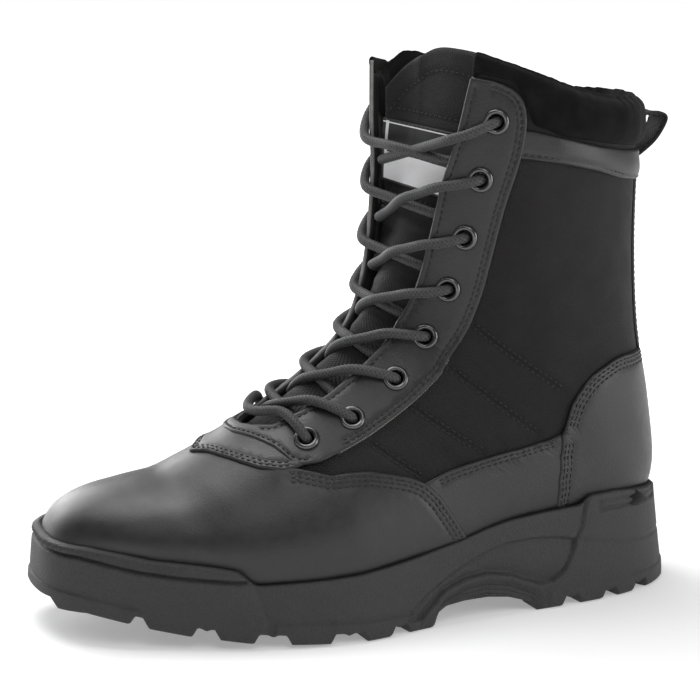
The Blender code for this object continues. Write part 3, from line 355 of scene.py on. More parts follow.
def grid_faces(rows, columns, closed=False, offset=0):
    """Quads of a grid; a closed grid joins its last column to its first."""
    faces = []
    span = columns if closed else columns - 1
    for i in range(rows - 1):
        for j in range(span):
            k = (j + 1) % columns
            faces.append((offset + i * columns + j, offset + i * columns + k,
                          offset + (i + 1) * columns + k, offset + (i + 1) * columns + j))
    return faces


def face_out(mesh, merge=0.00001, extra=None):
    """Joins doubled points, builds an extra into the shape and turns the faces outward."""
    shape = bmesh.new()
    shape.from_mesh(mesh)
    if merge:
        bmesh.ops.remove_doubles(shape, verts=shape.verts, dist=merge)
    if extra:
        extra(shape)
    bmesh.ops.recalc_face_normals(shape, faces=shape.faces[:])
    shape.to_mesh(mesh)
    shape.free()
    return mesh


def even_angle(station, angle, back=False):
    """Angle on the last turned into one that runs evenly round the section, or back again."""
    angle = np.asarray(angle, float)
    near = (angle + 180) % 360 - 180
    turns = np.round((angle - near) / 360)
    s = section(station)
    bulge = 2 / np.where(near >= 0, s["outer_round"], s["inner_round"])
    size = np.abs(near)
    upper = size <= 90
    power = np.where(upper, bulge, 2 / s["base_round"])
    power = 1 / power if back else power
    part = np.clip(np.radians(np.where(upper, size, size - 90)), 1e-6, math.pi / 2 - 1e-6)
    even = np.degrees(np.arctan(np.tan(part)**power)) + np.where(upper, 0, 90)
    return np.where(near < 0, -even, even) + 360 * turns


def resample(rows, spacing, closed=False):
    """Station and angle pairs along a line, evenly spaced on the last."""
    rows = np.asarray(list(rows) + ([rows[0]] if closed else []), float)
    knots = np.arange(len(rows))
    fine = np.linspace(0, len(rows) - 1, 24 * len(rows))
    even = even_angle(*rows.T)
    dense = np.stack([np.interp(fine, knots, rows[:, 0]), np.interp(fine, knots, even)], -1)
    points = bare_skin(dense[:, 0], even_angle(*dense.T, back=True))
    reach = run_length(points)
    count = max(int(round(reach[-1] / spacing)), 3)
    target = np.linspace(0, reach[-1], count + 1)
    line = np.stack([np.interp(target, reach, dense[:, 0]), np.interp(target, reach, dense[:, 1])], -1)
    line[:, 1] = even_angle(*line.T, back=True)
    return line[:-1] if closed else line


def rounded(rows, amount=3):
    """Line with its corners eased by repeated corner cutting; the ends stay."""
    rows = [np.asarray(r, float) for r in rows]
    for _ in range(amount):
        eased = [rows[0]]
        for a, b in zip(rows[:-1], rows[1:]):
            eased += [a * 0.75 + b * 0.25, a * 0.25 + b * 0.75]
        eased.append(rows[-1])
        rows = eased
    return [tuple(r) for r in rows]


def on_last(station, even):
    """Point of the last's surface at an evenly running angle."""
    return bare_skin(station, even_angle(station, even, back=True))


def push(line, distance, closed=False):
    """Line moved sideways on the last by a distance, found by a damped search."""
    line = np.asarray(line, float)
    point, normal = skin_frame(*line.T)[:2]
    if closed:
        tangent = np.roll(point, -1, 0) - np.roll(point, 1, 0)
    else:
        tangent = np.gradient(point, axis=0)
    tangent = unit(tangent)
    goal = point + np.cross(normal, tangent) * distance
    moved = np.stack([line[:, 0], even_angle(*line.T)], -1)
    best = moved.copy()
    least = np.full(len(line), np.inf)
    for _ in range(9):
        at = on_last(*moved.T)
        miss = np.linalg.norm(goal - at, axis=-1)
        better = miss < least
        least = np.where(better, miss, least)
        best[better] = moved[better]
        along = (on_last(moved[:, 0] + 0.02, moved[:, 1]) - on_last(moved[:, 0] - 0.02, moved[:, 1])) / 0.04
        around = (on_last(moved[:, 0], moved[:, 1] + 0.3) - on_last(moved[:, 0], moved[:, 1] - 0.3)) / 0.6
        aa = (along**2).sum(-1)
        bb = (around**2).sum(-1)
        ab = (along * around).sum(-1)
        ga = (along * (goal - at)).sum(-1)
        gb = (around * (goal - at)).sum(-1)
        scale = aa * bb - ab**2
        change = np.stack([(ga * bb - gb * ab) / scale, (gb * aa - ga * ab) / scale], -1)
        moved = moved + 0.8 * np.clip(change, (-.15, -2.5), (.15, 2.5))
        moved[:, 0] = np.clip(moved[:, 0], 0.05, 19.95)
    best[:, 1] = even_angle(*best.T, back=True)
    return best


EDGE_RINGS = (0.0, 0.0003, 0.0007, 0.0012, 0.0019, 0.0027)
EDGE_ROUND = 0.0011
EDGE_LEFT = 0.35
TROUGH_DEPTH = 0.00050
TROUGH_WIDTH = 0.00062
ROW_ASIDE = 0.0008
ROW_SPACING = 0.0012
PANEL_SPACING = 0.0014
TRIAL_PUSH = 0.0006
THREAD_SUNK = 0.00012


def edge_share(distance):
    """Thickness share near a cut edge, with a rounded shoulder."""
    t = np.clip(distance / EDGE_ROUND, 0, 1)
    return EDGE_LEFT + (1 - EDGE_LEFT) * np.sqrt(1 - (1 - t)**2)


def inside_polygon(points, polygon):
    x, y = points[:, 0], points[:, 1]
    inside = np.zeros(len(points), bool)
    for (x0, y0), (x1, y1) in zip(polygon, np.roll(polygon, -1, 0)):
        crosses = (y0 > y) != (y1 > y)
        slope = (x1 - x0) / (y1 - y0 if y1 != y0 else 1)
        inside ^= crosses & (x < x0 + (y - y0) * slope)
    return inside


def finder(points):
    tree = KDTree(len(points))
    for k, p in enumerate(points):
        tree.insert(p, k)
    tree.balance()
    return tree


def reach_to(tree, points):
    return np.array([tree.find(p)[2] for p in points])


def dense_line(line, closed=False):
    """Points on the last every third of a millimetre along a line."""
    fine = resample(line, 0.00035, closed)
    return bare_skin(*fine.T)


def interior_points(low, high, spacing):
    """Staggered stations and angles, spaced by distance on the last."""
    points = []
    station = low[0]
    row = 0
    while station < high[0]:
        angles = np.arange(low[1], high[1] + 0.4, 0.5)
        line = bare_skin(np.full(len(angles), station), angles)
        reach = run_length(line)
        targets = np.arange((row % 2) * spacing / 2, reach[-1], spacing)
        points += [(station, a) for a in np.interp(targets, reach, angles)]
        along = skin_frame(np.full(7, station), np.linspace(low[1], high[1], 7))[2]
        station += spacing * 0.87 / float(np.linalg.norm(along, axis=-1).mean())
        row += 1
    return np.array(points)


def shell_mesh(name, top, bottom, faces, materials=None):
    """Closed mesh of a sheet, its underside and the walls along its borders."""
    used = sorted({v for f in faces for v in f})
    index = {v: i for i, v in enumerate(used)}
    count = len(used)
    faces = [tuple(index[v] for v in f) for f in faces]
    edges = {(a, b) for f in faces for a, b in zip(f, f[1:] + f[:1])}
    under = [tuple(v + count for v in reversed(f)) for f in faces]
    wall = [(b, a, a + count, b + count) for a, b in edges if (b, a) not in edges]
    vertices = np.vstack([np.asarray(top)[used], np.asarray(bottom)[used]])
    slots = None
    if materials is not None:
        slots = [materials[0]] * len(faces) + [materials[1]] * len(under) + [materials[2]] * len(wall)
    return face_out(mesh_of(name, vertices, list(faces) + under + wall, slots))


def ring_points(loops, border):
    """Points in rings just inside every border, which carry the rounded edge."""
    points = []
    for k, loop in enumerate(loops):
        trial = inside_polygon(push(loop, TRIAL_PUSH, True), loop).mean() > 0.5
        side = 1 if trial == (k == 0) else -1
        for distance in EDGE_RINGS[1:]:
            ring = push(loop, distance * side, True)
            far = reach_to(border, bare_skin(*ring.T))
            points.append(ring[far > 0.85 * distance])
    return points


def cut_faces(flat, loops):
    """Joins points to triangles inside the first loop and outside the others."""
    constraints = []
    first = 0
    for loop in loops:
        constraints += [(first + j, first + (j + 1) % len(loop)) for j in range(len(loop))]
        first += len(loop)
    along, around = skin_frame(*loops[0].T)[2:]
    scale = np.array([1.0, np.linalg.norm(around, axis=-1).mean() / np.linalg.norm(along, axis=-1).mean()])
    spread = [Vector(tuple(p)) for p in flat * scale]
    result = delaunay_2d_cdt(spread, constraints, [], 0, 1e-6)
    place = np.array([tuple(p) for p in result[0]]) / scale
    faces = np.array([tuple(f) for f in result[2]])
    middle = place[faces].mean(1)
    inner = inside_polygon(middle, loops[0])
    for loop in loops[1:]:
        inner &= ~inside_polygon(middle, loop)
    return place, [tuple(f) for f in faces[inner]]


def panel(name, outline, thickness, kind, rows, holes=(), lift=None, swell=None, inside=0.0030):
    """Cut panel on the last: rounded edges, a trough under each seam row, creases by swell."""
    loops = [resample(outline, PANEL_SPACING, closed=True)] + list(holes)
    border = finder(np.vstack([dense_line(loop, True) for loop in loops]))
    seam = finder(np.vstack([dense_line(row) for row in rows]))
    flat = loops + ring_points(loops, border)
    for row in rows:
        flat += [push(row, shift) if shift else row for shift in (-ROW_ASIDE, 0, ROW_ASIDE)]
    body = interior_points(loops[0].min(0), loops[0].max(0), inside)
    at = bare_skin(*body.T)
    keep = reach_to(border, at) > EDGE_RINGS[-1] + 0.3 * inside
    keep &= reach_to(seam, at) > ROW_ASIDE + 0.25 * inside
    place, faces = cut_faces(np.vstack(flat + [body[keep]]), loops)
    at = bare_skin(*place.T)
    share = edge_share(reach_to(border, at))
    depth = thickness * share - TROUGH_DEPTH * hill(reach_to(seam, at), TROUGH_WIDTH)
    if lift is not None:
        depth += lift(*place.T)
    if swell is not None:
        depth += swell(*place.T) * share
    mesh = shell_mesh(name, skin(*place.T, GAP + depth), skin(*place.T), faces)
    item = new_piece(name, mesh, kind, [name])
    for row in rows:
        sew(row, thickness + GAP, lift)
    return item


SEAMS = []


def sew(row, depth, lift=None):
    """Keeps the stitches of one seam row: place, run and outward direction."""
    row = resample(row, STITCH_PITCH)
    extra = lift(*row.T) if lift is not None else np.zeros(len(row))
    place, normal = skin_frame(*row.T)[:2]
    place = place + normal * (depth + extra - THREAD_SUNK)[:, None]
    SEAMS.append((0.5 * (place[1:] + place[:-1]), place[1:] - place[:-1], 0.5 * (normal[1:] + normal[:-1])))


def seam_along(line, distance, towards, ends=(0, 0)):
    """Seam row beside an edge line, on the side of a reference station and angle."""
    line = resample(line, ROW_SPACING)
    aim = bare_skin(*towards)
    both = [push(line, distance), push(line, -distance)]
    near = [np.linalg.norm(bare_skin(*row.T) - aim, axis=-1).min() for row in both]
    row = both[0] if near[0] < near[1] else both[1]
    return row[ends[0]:len(row) - ends[1]]


def turned_rows(rows):
    """Angle and station pairs as station and angle pairs."""
    return [(s, a) for a, s in rows]


def other_side(rows):
    """Station and angle pairs of the outer side, moved to the inner side."""
    return [(s, float(inner_angle(s, a))) for s, a in rows]


def add_node(tree, kind, inputs=None, **settings):
    """Node with its settings made and its inputs set or linked."""
    node = tree.nodes.new(kind)
    for key, value in settings.items():
        setattr(node, key, value)
    for key, value in (inputs or {}).items():
        if isinstance(value, bpy.types.NodeSocket):
            tree.links.new(value, node.inputs[key])
        else:
            node.inputs[key].default_value = value
    return node


class Paint:
    """Small helper that adds shader nodes to one material."""

    def __init__(self, name):
        self.material = bpy.data.materials.new(name)
        self.material.use_nodes = True
        self.tree = self.material.node_tree
        self.shader = self.tree.nodes["Principled BSDF"]
        self.place = None

    def add(self, kind, inputs=None, **settings):
        return add_node(self.tree, kind, inputs, **settings)

    def where(self, output="Object"):
        if self.place is None:
            self.place = self.add("ShaderNodeTexCoord")
        return self.place.outputs[output]

    def noise(self, scale, detail=3.0, output="Object", roughness=0.55):
        node = self.add("ShaderNodeTexNoise", {"Vector": self.where(output), "Scale": scale, "Detail": detail,
                                               "Roughness": roughness})
        return node.outputs["Fac"]

    def cells(self, scale, feature="SMOOTH_F1", output="Object"):
        inputs = {"Vector": self.where(output), "Scale": scale}
        node = self.add("ShaderNodeTexVoronoi", inputs, feature=feature)
        return node.outputs["Distance"]

    def band(self, value, low, high, to_low, to_high):
        node = self.add("ShaderNodeMapRange", {"Value": value, "From Min": low, "From Max": high,
                                               "To Min": to_low, "To Max": to_high})
        return node.outputs["Result"]

    def math(self, operation, first, second=0.0):
        return self.add("ShaderNodeMath", {0: first, 1: second}, operation=operation).outputs[0]

    def blend(self, factor, first, second):
        node = self.add("ShaderNodeMix", {"Factor": factor}, data_type="RGBA")
        node.inputs[6].default_value = (*first, 1)
        node.inputs[7].default_value = (*second, 1)
        return node.outputs[2]

    def bump(self, height, distance, strength=1.0, below=None):
        inputs = {"Height": height, "Distance": distance, "Strength": strength}
        if below is not None:
            inputs["Normal"] = below
        return self.add("ShaderNodeBump", inputs).outputs["Normal"]

    def finish(self, normal=None, **values):
        for key, value in values.items():
            socket = self.shader.inputs[key.replace("_", " ")]
            if isinstance(value, bpy.types.NodeSocket):
                self.tree.links.new(value, socket)
            else:
                socket.default_value = value
        if normal is not None:
            self.tree.links.new(normal, self.shader.inputs["Normal"])
        return self.material


def leather(name, dark, light, rough, grain=0.00016, cell=1500):
    """Smooth dyed leather: fine pebble, slow colour change, worn sheen."""
    p = Paint(name)
    pebble = p.cells(cell)
    pores = p.noise(5200, 2)
    broad = p.noise(55, 4)
    scuff = p.noise(210, 5, roughness=0.7)
    low = p.bump(broad, 0.0006, 0.22)
    middle = p.bump(pebble, grain, 0.55, low)
    fine = p.bump(pores, 0.00006, 0.5, middle)
    colour = p.blend(p.band(scuff, 0.35, 0.75, 0, 1), dark, light)
    gloss = p.band(p.math("ADD", broad, scuff), 0.7, 1.3, rough - 0.05, rough + 0.07)
    return p.finish(fine, Base_Color=colour, Roughness=gloss, Specular_IOR_Level=0.5)


def weave(name, dark, light, pitch=0.00062):
    """Plain weave of thick yarns on the piece's own map, in metres; its colour is random fuzz plus painted
    shade, darker between the yarns and lighter on their crests.
    """
    p = Paint(name)
    size = (1 / pitch, 1 / pitch, 1)
    place = p.add("ShaderNodeMapping", {"Vector": p.where("UV"), "Scale": size}).outputs[0]
    checker = p.add("ShaderNodeTexChecker", {"Vector": place, "Scale": 1.0}).outputs["Fac"]
    split = p.add("ShaderNodeSeparateXYZ", {"Vector": place})
    across = p.math("ABSOLUTE", p.math("SINE", p.math("MULTIPLY", split.outputs[0], math.pi)))
    along = p.math("ABSOLUTE", p.math("SINE", p.math("MULTIPLY", split.outputs[1], math.pi)))
    yarn = p.add("ShaderNodeMix", {"Factor": checker, "A": across, "B": along}).outputs[0]
    fuzz = p.noise(3200, 3)
    slow = p.noise(70, 3)
    low = p.bump(yarn, 0.00028, 0.8)
    fine = p.bump(fuzz, 0.00012, 0.5, low)
    # Painted shade: darker between the yarns, lighter on their crests, mixed with random fuzz
    fuzz_and_gap_shade = p.band(p.math("ADD", yarn, fuzz), 0.5, 1.6, 0, 1)
    colour = p.blend(fuzz_and_gap_shade, dark, light)
    return p.finish(fine, Base_Color=colour, Roughness=p.band(slow, 0.3, 0.7, 0.66, 0.8),
                    Specular_IOR_Level=0.24, Sheen_Weight=0.05, Sheen_Roughness=0.5)


def nap(name, dark, light, sheen=0.25):
    """Brushed suede or lining."""
    p = Paint(name)
    fibre = p.noise(2600, 4)
    patch = p.noise(120, 4)
    normal = p.bump(fibre, 0.0003, 0.7, p.bump(patch, 0.0008, 0.3))
    colour = p.blend(p.band(patch, 0.35, 0.7, 0, 1), dark, light)
    return p.finish(normal, Base_Color=colour, Roughness=p.band(fibre, 0.3, 0.7, 0.88, 1.0),
                    Specular_IOR_Level=0.10, Sheen_Weight=sheen, Sheen_Roughness=0.45)


def moulded_rubber(name):
    """Stippled matte rubber, lighter on the raised stipple as a painted highlight, with slow random patches
    of tone.
    """
    p = Paint(name)
    stipple = p.noise(1150, 3)
    grit = p.noise(4200, 2)
    patch = p.noise(60, 4)
    normal = p.bump(grit, 0.00012, 0.5, p.bump(stipple, 0.00055, 0.9))
    # Painted highlight: the raised stipple is coloured lighter; the slow patches are random tone
    colour = p.blend(p.band(p.math("ADD", stipple, patch), 0.75, 1.25, 0, 1), (.015, .015, .016),
                     (.028, .028, .030))
    return p.finish(normal, Base_Color=colour, Roughness=p.band(patch, 0.3, 0.7, 0.56, 0.68))


def braid_finish(name, dark, light):
    """Round braid: its relief is modelled; its colour is random fuzz plus painted shade from that relief,
    darker in the gaps between strands and lighter on their crests.
    """
    p = Paint(name)
    fuzz = p.noise(4200, 3)
    # Painted shade: the braid's relief, stored on the mesh, darkens the gaps between strands and lightens
    # their crests
    strand_relief_and_shade = p.add("ShaderNodeAttribute", attribute_name="strand_relief_and_shade").outputs["Fac"]
    fuzz_and_gap_shade = p.band(p.math("ADD", fuzz, strand_relief_and_shade), 0.35, 1.35, 0, 1)
    return p.finish(p.bump(fuzz, 0.00014, 0.6), Base_Color=p.blend(fuzz_and_gap_shade, dark, light),
                    Roughness=p.band(fuzz, 0.3, 0.7, 0.52, 0.68), Sheen_Weight=0.1)


def lacquered_metal(name):
    p = Paint(name)
    wear = p.noise(420, 4)
    colour = p.blend(wear, (.010, .010, .011), (.022, .022, .024))
    gloss = p.band(wear, 0.3, 0.7, 0.16, 0.26)
    return p.finish(p.bump(wear, 0.00003, 0.4), Base_Color=colour, Roughness=gloss,
                    Specular_IOR_Level=0.8, Coat_Weight=0.6, Coat_Roughness=0.08)


def printed_cloth(name, dark, light):
    p = Paint(name)
    thread = p.noise(3000, 2)
    return p.finish(p.bump(thread, 0.00012, 0.6), Base_Color=p.blend(thread, dark, light), Roughness=0.6)


MATERIALS = {
    "leather": leather("black smooth leather", (.0080, .0080, .0084), (.0140, .0140, .0146), 0.42),
    "vamp_leather": leather("black vamp leather", (.0105, .0105, .0110), (.0165, .0165, .0172), 0.42, .00008),
    "cut_edge": leather("raw cut leather edge", (.16, .155, .15), (.30, .29, .28), 0.7),
    "nylon": weave("black nylon weave", (.0052, .0046, .0046), (.0150, .0134, .0132)),
    "binding": weave("tongue binding", (.011, .011, .011), (.022, .021, .021), .0006),
    "webbing": weave("webbing", (.010, .010, .010), (.030, .030, .030), .0008),
    "suede": nap("black suede collar", (.0035, .0035, .0035), (.0075, .0075, .0075), 0.04),
    "lining": nap("dark lining", (.0055, .0055, .0055), (.0110, .0110, .0110), 0.15),
    "insole": nap("insole cloth", (.010, .010, .011), (.020, .020, .021), 0.2),
    "rubber": moulded_rubber("sole rubber"),
    "lace": braid_finish("lace braid", (.0030, .0030, .0031), (.042, .042, .044)),
    "thread": braid_finish("seam thread", (.0025, .0025, .0026), (.0075, .0075, .0078)),
    "metal": lacquered_metal("black eyelet metal"),
    "label_black": printed_cloth("label ground", (.010, .010, .011), (.018, .018, .019)),
    "label_light": printed_cloth("label light field", (.62, .62, .63), (.74, .74, .75)),
}


UPPER_ROWS = 240
UPPER_COLUMNS = 188
UPPER_FIRST = 1.0
UPPER_LAST = 19.9
UPPER_DROP = 0.0030
UNDER_ANGLE = 134
UNDER_STATION = 11.6
# The inner flap's top falls away round an angle
FLAP_DROP = 0.0105
FLAP_DROP_AT = 322
FLAP_DROP_WIDTH = 26
EYELET_BORE = 0.0044
QUILT_DEPTH = 0.0011
QUILT_WIDTH = 0.0021
QUILT_ROW_ASIDE = 0.0011
SHAFT_CREASES = [
    ([(10.9, 60), (11.1, 72), (11.3, 84)], -.0005, .0035),
    ([(12.2, 56), (12.4, 70), (12.5, 84)], .0006, .0050),
    ([(13.9, 60), (13.9, 80), (14.0, 96), (14.9, 112)], -.0006, .0045),
    ([(15.4, 66), (15.3, 88), (15.6, 106), (16.0, 128)], .0006, .0060),
    ([(16.5, 70), (16.3, 92), (16.5, 112)], -.0004, .0050),
]


def eyelet_places():
    places = []
    for side in (1, -1):
        for station, angle in EYELETS:
            places.append((side, station, float(side_angle(station, angle, side))))
    return places


def soft_creases(creases):
    """Depth function of soft troughs and ridges: line, depth, half width."""
    found = [(finder(dense_line(line)), depth, width) for line, depth, width in creases]

    def relief(at):
        total = np.zeros(len(at))
        for tree, depth, width in found:
            total += depth * hill(reach_to(tree, at), width)
        return total
    return relief


def top_station(angle, drop):
    """Station where the last at an angle meets the collar's top line less a drop."""
    drop = drop + FLAP_DROP * hill(angle - FLAP_DROP_AT, FLAP_DROP_WIDTH)
    stations = np.linspace(17.5, 20, 120)
    points = bare_skin(stations, np.full(len(stations), angle))
    over = points[:, 2] - (table_line(points[:, 1] / LENGTH, TOP_LINE) * HEIGHT - drop)
    index = int(np.argmax(over > 0)) if (over > 0).any() else len(stations) - 1
    return float(stations[index])


def between_throat(station, share):
    """Angle at a share of the way round from the outer throat edge to the inner one."""
    open_above = station > THROAT[0][0]
    left = np.where(open_above, throat_angle(station, 1), 0.0)
    right = np.where(open_above, 360 + throat_angle(station, -1), 360.0)
    return left + share * (right - left)


def upper_grid():
    """Stations and angles of the wall: a full ring at the toe, open at the throat above it."""
    ring = np.linspace(0, 1, UPPER_COLUMNS)
    share = np.linspace(0, 1, UPPER_ROWS)[:, None]
    tops = np.array([top_station(angle, UPPER_DROP) for angle in between_throat(UPPER_LAST, ring)])
    stations = UPPER_FIRST + share * (tops - UPPER_FIRST)
    return stations, between_throat(stations, ring)


def make_upper():
    """The nylon wall, quilted and creased, with a bore at each eyelet and open underneath."""
    stations, angles = upper_grid()
    s = stations.ravel()
    a = angles.ravel()
    at, normal = skin_frame(s, a)[:2]
    quilting = [(rounded(line, 2), other_side(rounded(line, 2))) for line in QUILTING]
    trough = reach_to(finder(np.vstack([dense_line(line) for pair in quilting for line in pair])), at)
    turned = [(other_side(line), d, w) for line, d, w in SHAFT_CREASES]
    depth = soft_creases(SHAFT_CREASES + turned)(at) - QUILT_DEPTH * hill(trough, QUILT_WIDTH)
    far = reach_to(finder([skin(station, angle) for _, station, angle in eyelet_places()]), at)
    faces = []
    for face in grid_faces(UPPER_ROWS, UPPER_COLUMNS):
        underneath = UNDER_ANGLE < a[face[0]] < 360 - UNDER_ANGLE and s[face[0]] < UNDER_STATION
        if min(far[list(face)]) >= EYELET_BORE and not underneath:
            faces.append(face)
    mesh = shell_mesh("shaft_and_wall", at + normal * depth[:, None], skin(s, a, -WALL), faces, (0, 1, 1))
    item = new_piece("shaft_and_wall", mesh, ["nylon", "lining"], ["upper"])
    unwrap(item)
    for pair in quilting:
        for shift in (-QUILT_ROW_ASIDE, QUILT_ROW_ASIDE):
            for line in pair:
                sew(push(resample(line, ROW_SPACING), shift), -QUILT_DEPTH * 0.42)


def unwrap(item):
    """Map in metres from height and the way round, good for cloth on a shaft."""
    mesh = item.data
    layer = mesh.uv_layers.new(name="cloth")
    points = np.zeros(len(mesh.vertices) * 3)
    mesh.vertices.foreach_get("co", points)
    points = points.reshape(-1, 3)
    corner = np.zeros(len(mesh.loops), np.int32)
    mesh.loops.foreach_get("vertex_index", corner)
    p = points[corner]
    centre_y = 0.075
    turn = np.arctan2(p[:, 0], -(p[:, 1] - centre_y))
    around = turn * 0.048
    uv = np.stack([around + 0.3 * p[:, 1], p[:, 2]], -1)
    layer.data.foreach_set("uv", uv.ravel())


LAP = 0.22
LAP_HIGH = 0.0010
LAP_REACH = 0.0050
ROWS_THREE = (0.0020, 0.0038, 0.0058)
ROWS_TWO = (0.0020, 0.0038)


def lap(line, height=LAP_HIGH, reach=LAP_REACH):
    """Lift of a panel near the edge where it lies over its neighbour."""
    tree = finder(dense_line(line))

    def lift(station, angle):
        far = reach_to(tree, bare_skin(station, angle))
        return height * hill(far, reach)
    return lift


def laps(*parts):
    lifts = [lap(line, high, reach) for line, high, reach in parts]
    return lambda station, angle: sum(lift(station, angle) for lift in lifts)


def vamp_creases():
    """Soft flex folds where the toes bend, and the box's slight flats."""
    lines = [
        ([(5.7, -40), (6.0, -12), (6.0, 18), (5.75, 46), (5.9, 72)], -.00024, .0050),
        ([(6.55, -28), (6.6, 0), (6.65, 30), (6.9, 52)], .00020, .0055),
        ([(7.6, 58), (7.7, 74), (7.6, 92)], -.00022, .0060),
        ([(9.2, 72), (9.0, 88), (8.8, 104)], .00022, .0060),
        ([(4.4, 50), (4.9, 70), (5.0, 92)], -.00015, .0065),
    ]
    relief = soft_creases(lines + [(other_side(line), d, w) for line, d, w in lines[2:]])
    return lambda station, angle: relief(bare_skin(station, angle))


def mirror_line(line):
    return [(s, -a) for s, a in line]


def make_vamp():
    rear = turned_rows(VAMP_REAR)
    under = [(s + LAP * (abs(a) < 46), a) for s, a in rear]
    outline = [(0.9, -134), (0.9, -70), (0.9, 0), (0.9, 70), (0.9, 134), (4, 134), (8, 134)]
    outline += under[::-1] + mirror_line(under[1:]) + [(8, -134), (4, -134)]
    rows = []
    for turn in (1, -1):
        edge = [(s, a * turn) for s, a in rear if a >= 45]
        rows += [seam_along(edge, far, (8.0, 90 * turn), (2, 3)) for far in ROWS_THREE]
    edges = [[(s, a * t) for s, a in rear if a >= 45] for t in (1, -1)]
    lift = laps(*[(edge, 0.0009, 0.006) for edge in edges])
    panel("vamp", outline, LEATHER, "vamp_leather", rows, lift=lift, swell=vamp_creases(), inside=0.0034)


def make_strap():
    front = turned_rows(STRAP_FRONT)
    rear = [(s + LAP * 0.8, a) for s, a in turned_rows(STRAP_REAR)]
    full_front = mirror_line(front[:0:-1]) + front
    full_rear = mirror_line(rear[:0:-1]) + rear
    rows = [seam_along(full_front, far, (8.0, 0), (2, 2)) for far in (0.0018, 0.0036)]
    lift = lap(full_front, 0.0011, 0.0055)
    panel("instep_strap", full_front + full_rear[::-1], STRAP, "leather", rows, lift=lift)


def facing_lines():
    outer_throat = [(s, a) for s, a, b in THROAT if s < 18.79] + [(18.79, 49.0)]
    inner_throat = [(s, -b) for s, a, b in THROAT if s < 18.79] + [(18.79, -25.0)]
    front = turned_rows(FACING_FRONT)
    return outer_throat, inner_throat, mirror_line(front[:0:-1]) + front


def eyelet_hole(station, angle):
    """Round hole in a panel, as stations and angles."""
    normal, along, around = skin_frame(station, angle)[1:]
    aside = unit(np.cross(normal, [0, 0, 1]))
    up = np.cross(normal, aside)
    ring = []
    for turn in np.linspace(0, 2 * math.pi, 18, endpoint=False):
        goal = EYELET_BORE * (math.cos(turn) * aside + math.sin(turn) * up)
        change = np.linalg.lstsq(np.stack([along, around], -1), goal, rcond=None)[0]
        ring.append(np.array([station, angle]) + change)
    return np.array(ring)


def make_facing():
    outer_throat, inner_throat, front = facing_lines()
    outer_rear = rounded(FACING_REAR, 2)
    inner_rear = other_side(outer_rear)
    outline = list(outer_rear) + outer_throat[::-1] + inner_throat + inner_rear[::-1] + front
    holes = [eyelet_hole(station, angle) for _, station, angle in eyelet_places()]
    rows = []
    for throat, rear, turn in ((outer_throat, outer_rear, 1), (inner_throat, inner_rear, -1)):
        rows.append(seam_along(throat[1:], 0.0030, (13.5, 45 * turn), (4, 3)))
        rows += [seam_along(rear, far, (13.5, 38 * turn), (3, 8)) for far in (0.0022, 0.0040)]
    rows.append(seam_along(front, 0.0022, (8.4, 0), (4, 4)))
    lift = lap(front, 0.0010, 0.0050)
    item = panel("facing", outline, FACING, ["leather", "cut_edge"], rows, holes, lift, inside=0.0030)
    light_edges(item, [outer_throat, outer_rear[:14], inner_throat])


CUT_EDGE_REACH = 0.00125


def light_edges(item, lines):
    """Gives the narrow walls along cut edges their raw light leather."""
    tree = finder(np.vstack([dense_line(line) for line in lines]))
    for face in item.data.polygons:
        corners = [item.data.vertices[v].co for v in face.vertices]
        near = [tree.find(c)[2] for c in corners]
        lowest = min(near)
        if len(corners) == 4 and max(near) < 0.0026:
            face.material_index = 1
        elif lowest < 0.0016 and sum(near) / len(near) < CUT_EDGE_REACH:
            face.material_index = 1


def make_side_panel(side, name):
    front = [(s - LAP, a) for s, a in turned_rows(VAMP_REAR) if a >= 80]
    rear = [(s + LAP, a) for s, a in turned_rows(COUNTER_FRONT)]
    top = turned_rows(SIDE_PANEL_TOP)
    outline = [(10.38, 80)] + top[:-1] + [(13.30, 91)] + rear[1:] + front[:0:-1]
    rows = [seam_along(top, far, (10.9, 110), (4, 3)) for far in ROWS_TWO]
    if side < 0:
        outline = mirror_line(outline)
        rows = [np.stack([row[:, 0], -row[:, 1]], -1) for row in rows]
    panel(name, outline, LEATHER, "leather", rows)


def around_back(line):
    """Line on the outer side, carried over the back seam to the inner side."""
    return list(line) + [(s, 360 - a) for s, a in line[::-1] if a < 180]


def make_counter():
    front = turned_rows(COUNTER_FRONT)
    top = around_back(rounded(turned_rows(COUNTER_TOP), 1))
    low = around_back([(11.62, 134), (12.55, 139), (13.08, 148), (13.25, 162), (13.30, 180)])
    left = front
    right = [(s, 360 - a) for s, a in front]
    outline = left + low[1:-1] + right[::-1] + top[::-1][1:-1]
    rows = []
    for far in ROWS_THREE:
        rows.append(seam_along(left, far, (13.2, 130), (3, 2)))
        rows.append(seam_along(right, far, (13.2, 230), (3, 2)))
        rows.append(seam_along(top, far, (14.0, 180), (4, 4)))
    lift = laps((left, 0.0009, 0.006), (right, 0.0009, 0.006))
    panel("heel_counter", outline, LEATHER, "leather", rows, lift=lift)


BAND_START = 69


def make_band():
    low = around_back([(s, max(a, BAND_START)) for a, s, _ in BAND])
    high = around_back([(s, max(a, BAND_START)) for a, _, s in BAND])
    rows = [seam_along(low, 0.0020, (18.2, 180), (2, 2))]

    def fold(station, angle):
        share = np.clip((station - 17.95) / 0.33, 0, 1)
        clear = np.clip((90 - np.abs(180 - angle) - 2) / 12 + 1, 0, 1)
        return clear * (0.0008 * np.sin(np.pi * share) + 0.0003 * np.sin(angle / 7.0))
    panel("collar_band", low + high[::-1], LEATHER, "leather", rows, swell=fold, inside=0.0022)


